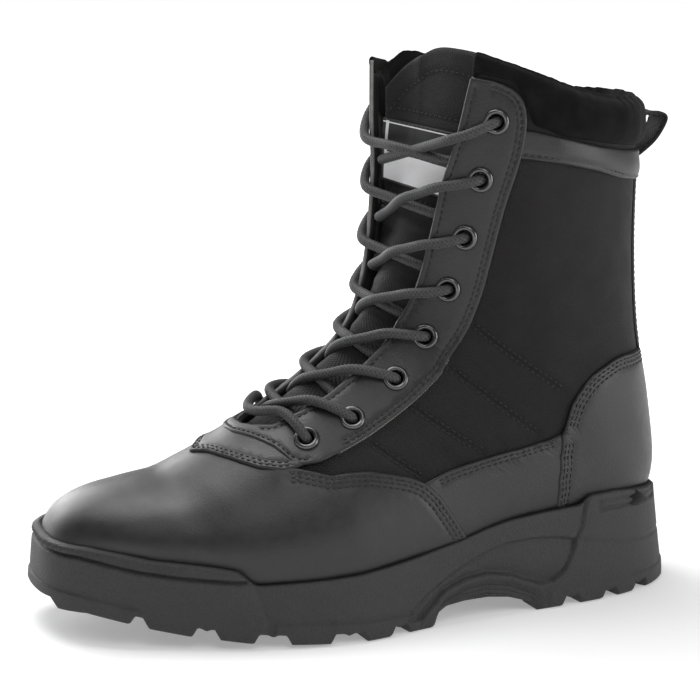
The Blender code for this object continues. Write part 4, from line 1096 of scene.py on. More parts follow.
def make_backstay():
    half = BACKSTAY_HALF_ANGLE
    low, high = BACKSTAY[0] - 0.1, BACKSTAY[1] + 0.05
    left = [(s, 180 - half) for s in np.linspace(low, high, 8)]
    right = [(s, 180 + half) for s in np.linspace(low, high, 8)]
    rows = [seam_along(line, 0.0018, (17, 180), (2, 2)) for line in (left, right)]
    panel("backstay", left + right[::-1], LEATHER, "leather", rows)


COLLAR_SECTION = [
    (0.00, 0.10), (0.03, 0.55), (0.10, 0.86), (0.22, 1.00), (0.36, 1.04), (0.50, 1.00), (0.64, 0.94),
    (0.76, 0.86),
    (0.86, 0.70), (0.94, 0.42), (0.985, 0.12),
]
COLLAR_INSIDE = 0.030
COLLAR_FRONT = 49.8
COLLAR_INNER_FRONT = 25.3
# Lower edge of the cuff: angle, station
COLLAR_FOOT = [(COLLAR_FRONT, CUFF_OVER_FACING), (66, 18.84), (72, 18.62), (75, 18.36), (92, 18.30),
               (180, 18.40)]


def collar_ring(angle):
    """Section of the cuff at an angle: up the outside, over the top and down the inside."""
    turn = angle if angle <= 180 else 360 - angle
    place = turn
    if angle > 180 and turn < 90:
        place = COLLAR_FRONT + (turn - COLLAR_INNER_FRONT) * (90 - COLLAR_FRONT) / (90 - COLLAR_INNER_FRONT)
    low = float(table_line(place, COLLAR_FOOT))
    high = top_station(angle, 0.0) - 0.04
    pad = float(np.clip((place - 62) / 30, 0, 1))
    ends = float(np.clip((place - 49.0) / 5, 0.15, 1))
    wave = 1 + 0.10 * math.sin(turn * 0.21) + 0.07 * math.sin(turn * 0.47 + 1)
    out = GAP + LEATHER + (COLLAR_OUT - GAP - LEATHER) * (pad + 0.25) * wave
    inner = -(WALL + GAP) - (COLLAR_IN * (0.35 + 0.65 * pad)) * wave * ends
    middle = 0.5 * (out + inner)
    path = [(low + s * (high - low), middle + d * (out - middle)) for s, d in COLLAR_SECTION]
    path += [(high + 0.03, middle + k * (out - middle) * 0.2) for k in (0.3, -0.3)]
    reach = high - low + COLLAR_INSIDE / HEIGHT * 13 * 0.5
    path += [(high - (1 - s) * reach, middle + d * (inner - middle)) for s, d in COLLAR_SECTION[::-1]]
    station, depth = np.array(path).T
    return skin(np.minimum(station, 20), np.full(len(path), angle), depth)


def make_collar():
    """Padded cuff: bulges outside over the band, rolls over the top and pads the inside."""
    rings = np.array([collar_ring(a) for a in np.linspace(COLLAR_FRONT, 360 - COLLAR_INNER_FRONT, 190)])
    rows, columns = rings.shape[:2]
    vertices = list(rings.reshape(-1, 3)) + [rings[0].mean(0), rings[-1].mean(0)]
    faces = grid_faces(rows, columns, closed=True)
    first = rows * columns
    for j in range(columns):
        k = (j + 1) % columns
        faces += [(first, k, j), (first + 1, (rows - 1) * columns + j, (rows - 1) * columns + k)]
    mesh = face_out(mesh_of("padded_collar", vertices, faces))
    item = new_piece("padded_collar", mesh, "suede", ["collar"])
    smooth_finish(item)


def smooth_finish(item, levels=1):
    """One level of subdivision, applied."""
    modifier = item.modifiers.new("smooth", "SUBSURF")
    modifier.levels = levels
    modifier.render_levels = levels
    graph = bpy.context.evaluated_depsgraph_get()
    mesh = bpy.data.meshes.new_from_object(item.evaluated_get(graph))
    item.modifiers.remove(modifier)
    old = item.data
    item.data = mesh
    bpy.data.meshes.remove(old)


def tongue_point(station, across, depth):
    """Point of the tongue, across from -1 inner to 1 outer, at a depth over its face."""
    outer_edge = throat_angle(station, 1) + table_line(station, TONGUE, 1)
    inner_edge = throat_angle(station, -1) - table_line(station, TONGUE, 2)
    angle = 0.5 * (outer_edge + inner_edge) + 0.5 * across * (outer_edge - inner_edge)
    face = -(WALL + TONGUE_CLEARANCE)
    point = skin(station, angle, face + depth)
    s = section(station)
    back = np.stack([np.zeros_like(s["back_y"]), s["back_y"] - s["front_y"], s["back_z"] - s["front_z"]], -1)
    back = unit(back)
    sink = table_line(station, TONGUE, 3) * LENGTH * (1 - across**4)
    return point + back * np.asarray(sink)[..., None]


TONGUE_SEAMS = (16.55, 18.22)
TONGUE_BINDING = 0.42
TONGUE_TOP = 19.22


def tongue_top(across):
    """Top edge of the tongue, falling away to both sides."""
    outer = 0.50 * np.clip(across, 0, 1)**2.4
    inner = 0.80 * np.clip(-across, 0, 1)**3.0
    return TONGUE_TOP - outer - inner


def tongue_relief(station, across, high):
    """Binding, cross seams and soft folds of the tongue's face."""
    edge = high - station
    relief = 0.0007 * soft_step(-edge, -TONGUE_BINDING, 0.10)
    relief -= 0.0006 * hill(edge - TONGUE_BINDING, 0.05)
    for seam in TONGUE_SEAMS:
        relief -= 0.0007 * hill(station - seam, 0.055)
    folds = [(16.1, .0007, .11), (15.7, -.0006, .10), (15.3, .0008, .13), (14.7, -.0006, .12),
             (14.3, .0006, .13),
             (13.2, -.0005, .15), (12.6, .0006, .16), (11.6, -.0005, .18), (11.0, .0005, .18)]
    for middle, depth, width in folds:
        bent = middle + 0.18 * across**2 + 0.05 * np.sin(3 * across + middle)
        relief += depth * hill(station - bent, width)
    return relief


def make_tongue(lace_points):
    across_line = np.linspace(-1, 1, 61)
    across, share = np.meshgrid(across_line, np.linspace(0, 1, 230))
    high = tongue_top(across)
    low = TONGUE[0][0]
    station = low + share * (high - low)
    edge = np.minimum((1 - np.abs(across)) / 0.10, (1 - share) / 0.012)
    round_share = np.sqrt(1 - (1 - np.clip(edge, 0, 1))**2)
    half = TONGUE_THICKNESS / 2
    relief = tongue_relief(station, across, high) * round_share
    top = tongue_point(station, across, -half + half * round_share + relief)
    bottom = tongue_point(station, across, -half - half * round_share)
    top = press_under(top, bottom, lace_points)
    faces = grid_faces(*station.shape)
    mesh = shell_mesh("tongue", top.reshape(-1, 3), bottom.reshape(-1, 3), faces)
    item = new_piece("gusset_tongue", mesh, "nylon", ["tongue"])
    layer = mesh.uv_layers.new(name="cloth")
    layer.active = True
    plane_map(item, layer)
    for seam in TONGUE_SEAMS:
        sew_points(tongue_point(np.full(60, seam), np.linspace(-.86, .80, 60), -0.0004), (0, -1, .4))
    line = np.linspace(-.93, .93, 80)
    top_line = tongue_top(line) - TONGUE_BINDING
    sew_points(tongue_point(top_line, line, -0.0001), (0, -1, .4))


def plane_map(item, layer):
    """Map in metres across and up, for cloth that faces forwards."""
    for loop in item.data.loops:
        p = item.data.vertices[loop.vertex_index].co
        layer.data[loop.index].uv = (p.x, math.hypot(p.y, p.z))


def press_under(top, bottom, lace_points):
    """The padded face gives way under the laces."""
    shape = top.shape
    flat = top.reshape(-1, 3).copy()
    inward = (bottom - top).reshape(-1, 3)
    inward /= np.maximum(np.linalg.norm(inward, axis=-1, keepdims=True), 1e-9)
    tree = finder(lace_points)
    reach = LACE_RADIUS + 0.0001
    for k, p in enumerate(flat):
        near, _, far = tree.find(p)
        if far > 0.007:
            continue
        offset = np.array(near) - p
        height = -float(offset @ inward[k])
        aside = math.sqrt(max(far**2 - height**2, 0))
        soft = 0.0036
        if aside < soft:
            under = math.sqrt(max(reach**2 - min(aside, reach)**2, 0)) if aside < reach else 0
            blend = 1 if aside < reach else (soft - aside) / (soft - reach)
            push_down = max(under - height, 0) if aside < reach else max(-height, 0) * blend
            flat[k] = p + inward[k] * min(push_down, 0.0040)
    return flat.reshape(shape)


def sew_points(points, out):
    """Stitch places along a free line of points."""
    reach = run_length(points)
    target = np.linspace(0, reach[-1], max(int(reach[-1] / STITCH_PITCH), 2) + 1)
    even = np.stack([np.interp(target, reach, points[:, k]) for k in range(3)], -1)
    run = np.diff(even, axis=0)
    out = np.asarray(out, float)
    normal = out - run * (run @ out)[:, None] / (run**2).sum(-1, keepdims=True)
    normal = unit(normal)
    SEAMS.append((0.5 * (even[1:] + even[:-1]), run, normal))


def make_label():
    """Blank woven label: dark field over a light one, with a narrow light border."""
    columns = 45
    rows = 61
    across, station = np.meshgrid(np.linspace(*LABEL_ACROSS, columns), np.linspace(*LABEL_STATIONS, rows))
    sag = 0.0004 * np.sin(across * 5) * np.sin((station - 16.7) * 2.3)
    top = tongue_point(station, across, LABEL_LIFT + 0.0008 + sag)
    bottom = tongue_point(station, across, LABEL_LIFT - 0.0004)
    faces = grid_faces(*station.shape)
    mesh = shell_mesh("label", top.reshape(-1, 3), bottom.reshape(-1, 3), faces)
    item = new_piece("blank_label", mesh, ["label_black", "label_light"], ["tongue_label"])
    for index, face in enumerate(faces):
        i, j = divmod(face[0], columns)
        light = 2 <= i <= 28 and 2 <= j <= columns - 4
        border = (i == 57 or j == 1) and 2 <= i < rows - 2
        if light or border:
            mesh.polygons[index].material_index = 1
    line = np.linspace(LABEL_ACROSS[0] + .02, LABEL_ACROSS[1] - .02, 40)
    sew_points(tongue_point(np.full(40, 18.03), line, LABEL_LIFT + 0.0008), (0, -1, .4))


def make_insole():
    stations = np.linspace(0.8, 13.2, 60)
    across = np.linspace(-1, 1, 25)
    top = []
    bottom = []
    for station in stations:
        s = section(station)
        height = s["front_z"] - s["back_z"]
        fan = np.array([0, s["front_y"] - s["back_y"], height]) / height
        for a in across:
            width = s["outer"] if a > 0 else s["inner"]
            x = s["keel"] + abs(a) * (width * 0.93 - s["keel"])
            dish = 0.0016 * abs(a)**4
            base = np.array([x, s["back_y"], s["back_z"]])
            top.append(base + fan * (WALL + GAP + 0.004 + dish))
            bottom.append(base + fan * (WALL + GAP))
    faces = grid_faces(len(stations), len(across))
    mesh = shell_mesh("insole", np.array(top), np.array(bottom), faces)
    new_piece("insole_board", mesh, "insole", ["insole"])


def make_loop():
    """Folded webbing loop on the back seam, a little narrower at its foot."""
    stations = np.array([17.0, 18.0, 19.0, 20.0])
    path = []
    for off, share in LOOP_PATH:
        cover = COLLAR_OUT if share > LOOP_ON_COLLAR else GAP + LEATHER
        seam = skin(stations, np.full(4, 180.0), cover + GAP + LOOP_THICKNESS / 2)
        path.append((np.interp(share * HEIGHT, seam[:, 2], seam[:, 1]) + off, share * HEIGHT))
    path = np.array(path)
    knots = np.arange(len(path))
    fine = np.linspace(0, len(path) - 1, 110)
    line = np.stack([smooth_curve(fine, knots, path[:, 0]), smooth_curve(fine, knots, path[:, 1])], -1)
    run = np.gradient(line, axis=0)
    out = np.stack([-run[:, 1], run[:, 0]], -1)
    out = unit(out)
    across = np.linspace(-1, 1, 15)
    top = []
    bottom = []
    for k, (p, n) in enumerate(zip(line, out)):
        narrow = 1 - 0.12 * hill(k, 18) - 0.10 * hill(k - 109, 18)
        for a in across:
            thick = LOOP_THICKNESS / 2 * (0.55 + 0.45 * math.sqrt(1 - min(abs(a), 1)**6))
            x = a * LOOP_WIDTH / 2 * narrow
            bow = 0.0006 * a * a
            top.append((x, *(p + n * (thick - bow))))
            bottom.append((x, *(p - n * (thick + bow))))
    mesh = shell_mesh("loop", np.array(top), np.array(bottom), grid_faces(len(line), len(across)))
    item = new_piece("webbing_pull_loop", mesh, "webbing", ["pull_loop"])
    layer = mesh.uv_layers.new(name="cloth")
    plane_map(item, layer)
    for x in (-0.0062, 0.0062):
        for sign in (1, -1):
            depth = sign * (LOOP_THICKNESS / 2 - 0.0002)
            points = np.array([(x, *(p + n * depth)) for p, n in zip(line, out)])
            sew_points(points[8:100], (0, float(sign), 0.2))


SOLE_COLUMNS = 820
SOLE_LEVELS = 66
LUG_TAPER = 0.0022
RIM_SEARCH = 0.003
RIM_FARTHEST = 0.020
KNURL_HEIGHT = 0.00032
KNURL_PITCH = 0.0021
UNDER_RINGS = (LUG_REACH - 0.0022, 0.0115, 0.0085, 0.0055, 0.0030, 0.0017)
# Rings over the rim: distance inside it, height over it
RIM_RINGS = [(0.0002, -0.0003), (0.0006, 0), (RIM_WALL, 0.0001), (RIM_WALL + 0.0010, -0.0012),
             (RIM_WALL + 0.0050, -0.0060)]


def rolled(values, times):
    """Closed row of values, smoothed again and again."""
    for _ in range(times):
        values = 0.25 * np.roll(values, 1, 0) + 0.5 * values + 0.25 * np.roll(values, -1, 0)
    return values


def sole_outline():
    """Smooth closed outline of the sole with its outward normals."""
    outer = [(x, y) for y, x, _ in OUTLINE]
    inner = [(x, y) for y, _, x in OUTLINE[::-1]]
    points = np.array(outer + inner) * (BALL_WIDTH, LENGTH)
    count = len(points)
    closed = np.vstack([points[-2:], points, points[:3]])
    chord = run_length(closed)
    chord -= chord[2]
    total = chord[2 + count]
    at = np.linspace(0, total, SOLE_COLUMNS, endpoint=False)
    curve = np.stack([smooth_curve(at, chord, closed[:, 0]), smooth_curve(at, chord, closed[:, 1])], -1)
    curve = rolled(curve, 3)
    run = np.roll(curve, -1, 0) - np.roll(curve, 1, 0)
    out = np.stack([run[:, 1], -run[:, 0]], -1)
    out = unit(out)
    return curve, out


def last_slice(height, side):
    """Outline of the last on one side where it crosses a height."""
    station = np.linspace(0, 14.5, 436)
    s = section(station)
    share = (height - s["back_z"]) / (s["front_z"] - s["back_z"])
    width = s["outer"] if side > 0 else s["inner"]
    bulge = (s["outer_round"] if side > 0 else s["inner_round"]) / 2
    inside = (share > 0) & (share < 1)
    share = np.clip(share, 0.0001, 0.9999)
    over = np.clip((share - s["level"]) / (1 - s["level"]), 0, 1)
    below = np.clip(1 - share / s["level"], 0, 1)
    high_x = s["ridge"] + (width - s["ridge"]) * np.sin(np.arccos(over**bulge))**(1 / bulge)
    low_x = s["keel"] + (width - s["keel"]) * np.cos(
        np.arcsin(below**(s["base_round"] / 2)))**(2 / s["base_round"])
    x = np.where(share > s["level"], high_x, low_x)
    y = s["back_y"] + share * (s["front_y"] - s["back_y"])
    points = np.stack([x, y], -1)[inside]
    return points[np.argsort(points[:, 1])]


def rim_insets(curve, out, rim):
    """How far the rim stands inside the outline, so that it follows the upper."""
    insets = []
    for p, n, height in zip(curve, out, rim):
        offset = np.vstack([last_slice(height, 1), last_slice(height, -1)]) - p
        across = offset @ np.array([-n[1], n[0]])
        inward = -(offset @ n)
        near = inward[(np.abs(across) < RIM_SEARCH) & (inward < RIM_FARTHEST)]
        insets.append(max(near.min() - (2 * GAP + LEATHER + RIM_WALL), 0.0004) if len(near) else np.nan)
    insets = np.array(insets)
    known = np.flatnonzero(~np.isnan(insets))
    insets = np.interp(np.arange(len(insets)), known, insets[known], period=len(insets))
    insets = np.median([np.roll(insets, k) for k in range(-22, 23)], axis=0)
    return rolled(insets, 14)


def lug_mask(y):
    """1 on a side lug, 0 in a gap, sloping between them, with a small nib in each gap."""
    mask = np.zeros(len(y))
    nib = np.zeros(len(y))
    for start, end in SIDE_LUGS:
        front = np.clip((y - start * LENGTH) / LUG_TAPER + 0.5, 0, 1)
        rear = np.clip((end * LENGTH - y) / LUG_TAPER + 0.5, 0, 1)
        mask = np.maximum(mask, front * rear)
    for (_, end), (start, _) in zip(SIDE_LUGS[1:], SIDE_LUGS[2:]):
        middle = 0.5 * (end + start) * LENGTH
        if (start - end) * LENGTH < 0.03:
            nib = np.maximum(nib, np.clip(1 - np.abs(y - middle) / 0.0022, 0, 1))
    return mask, nib


def sole_relief(y, z):
    """Outward relief of the moulded side: bumper, groove, steps, arch sweep, heel cup and slot."""
    bumper = 1 - soft_step(y, table_line(z, BUMPER_END), 0.0014)
    relief = 0.0012 * bumper
    groove = table_line(y, TOE_GROOVE)
    relief -= 0.0019 * bumper * hill(z - groove, 0.00075)
    low = table_line(y, TOE_LOW_LINE)
    relief += 0.0006 * (1 - soft_step(y, -0.116, 0.004)) * (1 - soft_step(z, low, 0.0008))
    step = table_line(y, LOW_STEP)
    inside = soft_step(y, -0.063, 0.001) * (1 - soft_step(y, 0.003, 0.002))
    relief += 0.0008 * inside * (1 - soft_step(z, step, 0.0008))
    cup = table_line(z, CUP_FRONT)
    heel = soft_step(y, cup, 0.0012)
    high = table_line(y, SWEEP_HIGH)
    lower = table_line(y, SWEEP_LOW)
    sweep = soft_step(y, -0.003, 0.002) * (1 - heel)
    hollow = soft_step(high - z, 0.0004, 0.0011) * soft_step(z - lower, 0.0004, 0.0016)
    relief -= 0.0019 * sweep * hollow
    belly = np.clip((high - z) / np.maximum(high - lower, 0.001), 0, 1)
    relief += 0.0012 * sweep * hollow * np.sin(np.pi * belly)
    lip = hill(z - lower + 0.0016, 0.0017)
    relief += 0.0010 * sweep * lip * soft_step(y, 0.004, 0.004)
    under = soft_step(y, 0.014, 0.006) * (1 - soft_step(y, 0.063, 0.006))
    relief -= 0.0014 * under * soft_step(lower - 0.0040 - z, 0, 0.002)
    for k in range(3):
        rib = lower - 0.0046 - 0.0021 * k
        relief += 0.0008 * under * hill(z - rib, 0.0006)
    relief += 0.0003 * heel
    relief -= 0.0012 * hill(y - cup, 0.0007) * soft_step(z, 0.012, 0.002)
    slot = soft_step(y, SLOT_FRONT, 0.0010) * (1 - soft_step(y, SLOT_REAR, 0.002))
    slot = slot * soft_step(z, SLOT_LOW, 0.0006) * (1 - soft_step(z, SLOT_TOP, 0.0006))
    bar = soft_step(y, SLOT_FRONT + 0.002, 0.001) * hill(z - 0.5 * (SLOT_LOW + SLOT_TOP), 0.0011)
    relief += -0.0011 * slot + 0.0007 * bar * slot
    crease = table_line(y, SWEEP_HIGH)
    relief -= 0.0005 * heel * hill(z - crease, 0.0009)
    low_heel = soft_step(y, 0.070, 0.003) * (1 - soft_step(z, 0.0085, 0.0008))
    relief += 0.0005 * low_heel
    knurl = (1 - soft_step(y, -0.098, 0.010)) * soft_step(z, groove + 0.0012, 0.0006)
    return relief, knurl


def sole_heights(y):
    """Ground, rim and rise of the arch along the outline."""
    share = np.clip(y / LENGTH, SOLE_SIDE[0][0], SOLE_SIDE[-1][0])
    ground = table_line(share, SOLE_SIDE) * HEIGHT
    rim = table_line(share, SOLE_SIDE, 2) * HEIGHT
    rim = np.convolve(np.concatenate([rim[-2:], rim, rim[:2]]), np.ones(5) / 5, "valid")
    return ground, rim, table_line(share, ARCH_RISE) * HEIGHT


def sole_spine(curve):
    """Middle line of the sole, one point for each point of the outline."""
    y = curve[:, 1]
    half = SOLE_COLUMNS // 2
    outer = np.interp(y, curve[:half, 1], curve[:half, 0])
    inner = np.interp(y, curve[:half - 1:-1, 1], curve[:half - 1:-1, 0])
    spine_y = np.round(np.clip(y, -0.136, 0.132) / 0.002) * 0.002
    order = np.argsort(y)
    return np.stack([np.interp(spine_y, y[order], (0.5 * (outer + inner))[order]), spine_y], -1)


def ring_at(flat, z):
    return np.stack([flat[:, 0], flat[:, 1], z], -1)


def side_rings(curve, out, heights, bottom, inset):
    """Rings up the side of the sole with its moulded relief."""
    ground, rim, waist = heights
    arc = np.arange(SOLE_COLUMNS) * np.linalg.norm(np.diff(curve, axis=0), axis=1).mean()
    rings = []
    for level in np.linspace(0, 1, SOLE_LEVELS):
        z = bottom + 0.0008 + level * (rim - 0.0007 - bottom - 0.0008)
        t = (z - ground) / (rim - ground)
        relief, knurl = sole_relief(curve[:, 1], z)
        fade = np.clip((z - bottom) / 0.0012, 0, 1) * np.clip((rim - z) / 0.0008, 0, 1)
        lean = inset * np.clip(t, 0, 1)**1.25
        chamfer = 0.0006 * np.clip(1 - (z - bottom) / 0.0014, 0, 1)
        teeth = KNURL_HEIGHT * knurl * np.sin(arc * 2 * math.pi / KNURL_PITCH + z * 900) * fade
        inward = lean + chamfer + 0.0006 * waist * (1 - t) - relief * fade - teeth
        rings.append(ring_at(curve - out * inward[:, None], z))
    return rings


def make_outsole():
    """One closed skin: from the spine over the lugs, up the side, over the rim and back to the spine."""
    curve, out = sole_outline()
    ground, rim, rise = sole_heights(curve[:, 1])
    base = ground + LUG_DEPTH + rise
    mask, nib = lug_mask(curve[:, 1])
    bottom = base - LUG_DEPTH * mask - 0.0010 * nib * (1 - mask)
    inset = rim_insets(curve, out, rim)
    waist = np.clip(rise / (0.018 * HEIGHT), 0, 1)
    spine = sole_spine(curve)
    edge = curve - out * LUG_REACH
    along = spine[:, 1] / LENGTH
    low = (table_line(along, SOLE_SIDE) + table_line(along, ARCH_RISE)) * HEIGHT + LUG_DEPTH
    halfway = 0.5 * (edge + spine)
    rings = [ring_at(spine, low), ring_at(halfway, 0.5 * (low + base)), ring_at(edge, base)]
    rings += [ring_at(curve - out * inward, base - LUG_DEPTH * mask) for inward in UNDER_RINGS]
    rings.append(ring_at(curve - out * 0.0010, bottom + 0.00005))
    rings.append(ring_at(curve - out * (0.0006 + 0.0006 * waist)[:, None], bottom + 0.0003))
    rings += side_rings(curve, out, (ground, rim, waist), bottom, inset)
    rings += [ring_at(curve - out * (inset + inward)[:, None], rim + up) for inward, up in RIM_RINGS]
    rows = section(np.linspace(0.2, 13.4, 90))
    order = np.argsort(rows["back_y"])
    floor, floor_spine = [np.interp(at[:, 1], rows["back_y"][order], rows["back_z"][order]) - 0.0012
                          for at in (curve, spine)]
    flat = curve - out * (inset + RIM_WALL + 0.0095)[:, None]
    rings += [ring_at(flat, np.minimum(floor, rim - 0.008)), ring_at(halfway, floor_spine),
              ring_at(spine, floor_spine)]
    faces = grid_faces(len(rings), SOLE_COLUMNS, closed=True)
    mesh = mesh_of("outsole", np.array(rings).reshape(-1, 3), faces)
    new_piece("lugged_outsole", face_out(mesh, 0.00002, add_middle_lugs), "rubber", ["outsole"])


# Rings of a middle lug from its root: growth outward, height over the ground
MIDDLE_LUG_RINGS = [(0.0016, LUG_DEPTH + 0.002), (0.0010, LUG_DEPTH - 0.0005), (0.0, 0.0007), (-0.0005, 0.0)]


def add_middle_lugs(shape):
    """Bevelled blocks under the middle of the sole."""
    for start, end, half in MIDDLE_LUGS:
        corners = []
        for share, across in ((start, 1), (end, 1), (end, -1), (start, -1)):
            outer, inner = [table_line(share, OUTLINE, column) for column in (1, 2)]
            centre = 0.5 * (outer + inner) * BALL_WIDTH
            corners.append((centre + across * half * BALL_WIDTH, share * LENGTH))
        middle = np.mean(corners, axis=0)
        rings = []
        for grow, lift in MIDDLE_LUG_RINGS:
            level = []
            for x, y in corners:
                away = np.array([x, y]) - middle
                away = unit(away)
                ground = float(table_line(y / LENGTH, SOLE_SIDE)) * HEIGHT
                level.append(shape.verts.new((x + away[0] * grow, y + away[1] * grow, ground + lift)))
            rings.append(level)
        for a, b in zip(rings, rings[1:]):
            for k in range(4):
                shape.faces.new((a[k], a[(k + 1) % 4], b[(k + 1) % 4], b[k]))
        shape.faces.new(rings[0][::-1])
        shape.faces.new(rings[-1])


EYELET_PROFILE = [
    (.0033, -.0036), (.0031, -.0030), (.0031, -.0004), (.0033, .0004), (.0038, .0010), (.0044, .0012),
    (.0050, .0010),
    (.0055, .0004), (.0057, -.0002), (.0056, -.0006), (.0042, -.0006), (.0040, -.0036),
]
EYELET_TURNS = 40


def make_eyelets():
    for index, (side, station, angle) in enumerate(eyelet_places()):
        label = "outer" if side > 0 else "inner"
        number = index % len(EYELETS) + 1
        point, normal = skin_frame(station, angle)[:2]
        normal = Vector(normal)
        matrix = normal.to_track_quat("Z", "Y").to_matrix().to_4x4()
        matrix.translation = Vector(point) + normal * (GAP + FACING + 0.0004)
        vertices = []
        for r, z in EYELET_PROFILE:
            for turn in np.linspace(0, 2 * math.pi, EYELET_TURNS, endpoint=False):
                vertices.append(tuple(matrix @ Vector((r * math.cos(turn), r * math.sin(turn), z))))
        rows = len(EYELET_PROFILE)
        faces = grid_faces(rows, EYELET_TURNS, closed=True)
        for j in range(EYELET_TURNS):
            k = (j + 1) % EYELET_TURNS
            faces.append(((rows - 1) * EYELET_TURNS + j, (rows - 1) * EYELET_TURNS + k, k, j))
        new_piece(f"turned_eyelet_{label}_{number}", face_out(mesh_of("eyelet", vertices, faces)), "metal",
                  [f"eyelet_{label}_{number}"])


LACE_SIDES = 28
LACE_STEP = 0.0004
LACE_PASSES = 260
BRAID_RELIEF = 0.00016
BRAID_PITCH = 0.0018
LACE_OVER = GAP + FACING + LACE_RADIUS + 0.0002
LACE_RIM = LACE_OVER + 0.0010


def smooth_path(points):
    """Even points along a centripetal curve through a few."""
    points = np.asarray(points, float)
    chord = np.concatenate([[0], np.cumsum(np.sqrt(np.linalg.norm(np.diff(points, axis=0), axis=1)))])
    at = np.linspace(0, chord[-1], 60 * len(points))
    dense = np.stack([smooth_curve(at, chord, points[:, k]) for k in range(3)], -1)
    reach = run_length(dense)
    target = np.linspace(0, reach[-1], max(int(reach[-1] / LACE_STEP), 4))
    path = np.stack([np.interp(target, reach, dense[:, k]) for k in range(3)], -1)
    held = np.clip((np.minimum(target, reach[-1] - target) - 0.009) / 0.004, 0, 1)[1:-1, None]
    for _ in range(LACE_PASSES):
        path[1:-1] += 0.25 * held * (path[:-2] + path[2:] - 2 * path[1:-1])
    return path


def tongue_samples():
    across, station = np.meshgrid(np.linspace(-.96, .96, 41), np.linspace(TONGUE[0][0], TONGUE_TOP, 121))
    face = tongue_point(station, across, 0.0)
    normal = np.cross(np.gradient(face, axis=1), np.gradient(face, axis=0))
    normal = unit(normal)
    normal *= np.sign((normal * np.array([0, -1, 0.5])).sum(-1, keepdims=True))
    return face.reshape(-1, 3), normal.reshape(-1, 3)


def rest_on_tongue(point, samples, sink=0.0012):
    """Moves a lace point out until its cord lies just pressed into the tongue."""
    face, normal = samples
    nearest = np.argmin(((face - point)**2).sum(-1))
    height = (point - face[nearest]) @ normal[nearest]
    return point + normal[nearest] * max(LACE_RADIUS - sink - height, 0)


def eyelet_entry(station, angle, edge_station, edge_angle):
    """From inside the hole over the rim towards the throat edge."""
    hole = [skin(station, angle, d) for d in (-0.0062, -0.0030, 0.0012)]
    lean = [skin(station + s * (edge_station - station), angle + s * (edge_angle - angle), d)
            for s, d in ((0.12, LACE_OVER - 0.0008), (0.34, LACE_RIM), (0.68, LACE_RIM - 0.0003))]
    return hole + lean


def lace_arm(index, side, samples, raised):
    """One arm: out of this side's eyelet, over its flap, across the tongue, under the other flap."""
    station, angle = EYELETS[index]
    below, below_angle = EYELETS[index + 1]
    angle = float(side_angle(station, angle, side))
    over = station + (0.36 if side > 0 else 0.74) * (below - station)
    under = station + (1.26 if side > 0 else 0.86) * (below - station)
    edge = float(throat_angle(over, side))
    other = float(throat_angle(under, -side))
    points = eyelet_entry(station, angle, over, edge)
    first = skin(over, edge * 0.97, LACE_OVER + 0.0002)
    last = skin(under, other * 0.97, -(WALL + 0.0012))
    points.append(first)
    for share in (0.22, 0.42, 0.60, 0.78):
        point = rest_on_tongue(first + (last - first) * share, samples)
        out = point - np.array([0, 0.08, point[2]])
        out = unit(out)
        hump = 2 * LACE_RADIUS * 0.92 * hill(share - 0.46, 0.20) if raised else 0
        points.append(point + np.array([0, -1, 0.35]) / 1.06 * hump)
    points.append(last)
    points.append(skin(under + 0.03, other * 1.16, -(WALL + LACE_RADIUS + 0.0002)))
    far_angle = float(side_angle(below, below_angle, -side))
    points.append(skin(below, far_angle * 0.75, -(WALL + LACE_RADIUS + 0.0006)))
    return smooth_path(points)


def braid_tube(name, paths, nodes):
    """Round braided cord along each path, its strands modelled as a low relief that is also stored per point
    as painted shade for the material.
    """
    vertices = []
    faces = []
    strand_gap_shade = []
    for path in paths:
        run = np.gradient(path, axis=0)
        run = unit(run)
        side = unit(np.cross(run[0], [0, 0, 1]))
        start = len(vertices)
        turns = np.arange(LACE_SIDES) * 2 * math.pi / LACE_SIDES
        for k, (p, t) in enumerate(zip(path, run)):
            side = unit(side - t * (side @ t))
            up = np.cross(t, side)
            phase = k * LACE_STEP * 2 * math.pi / BRAID_PITCH
            strand_relief_and_shade = np.maximum(np.cos(6 * turns + phase), np.cos(6 * turns - phase))
            radius = LACE_RADIUS - BRAID_RELIEF + BRAID_RELIEF * 1.5 * strand_relief_and_shade
            if k < 1 or k >= len(path) - 1:
                radius = radius * 0.7
            ring = p + radius[:, None] * (np.cos(turns)[:, None] * side + np.sin(turns)[:, None] * up)
            vertices.extend(ring)
            # The same relief kept as painted shade: low in the gaps between strands, high on their crests
            strand_gap_shade.extend(np.clip(strand_relief_and_shade, 0, 1))
        count = len(path)
        faces += grid_faces(count, LACE_SIDES, closed=True, offset=start)
        faces.append(tuple(range(start, start + LACE_SIDES))[::-1])
        end = start + (count - 1) * LACE_SIDES
        faces.append(tuple(range(end, end + LACE_SIDES)))
    mesh = face_out(mesh_of(name, vertices, faces), merge=0)
    # Painted shade of the strands, read by the lace material
    mesh.attributes.new("strand_relief_and_shade", "FLOAT", "POINT").data.foreach_set("value", np.array(strand_gap_shade, np.float32))
    item = new_piece(name, mesh, "lace", nodes)


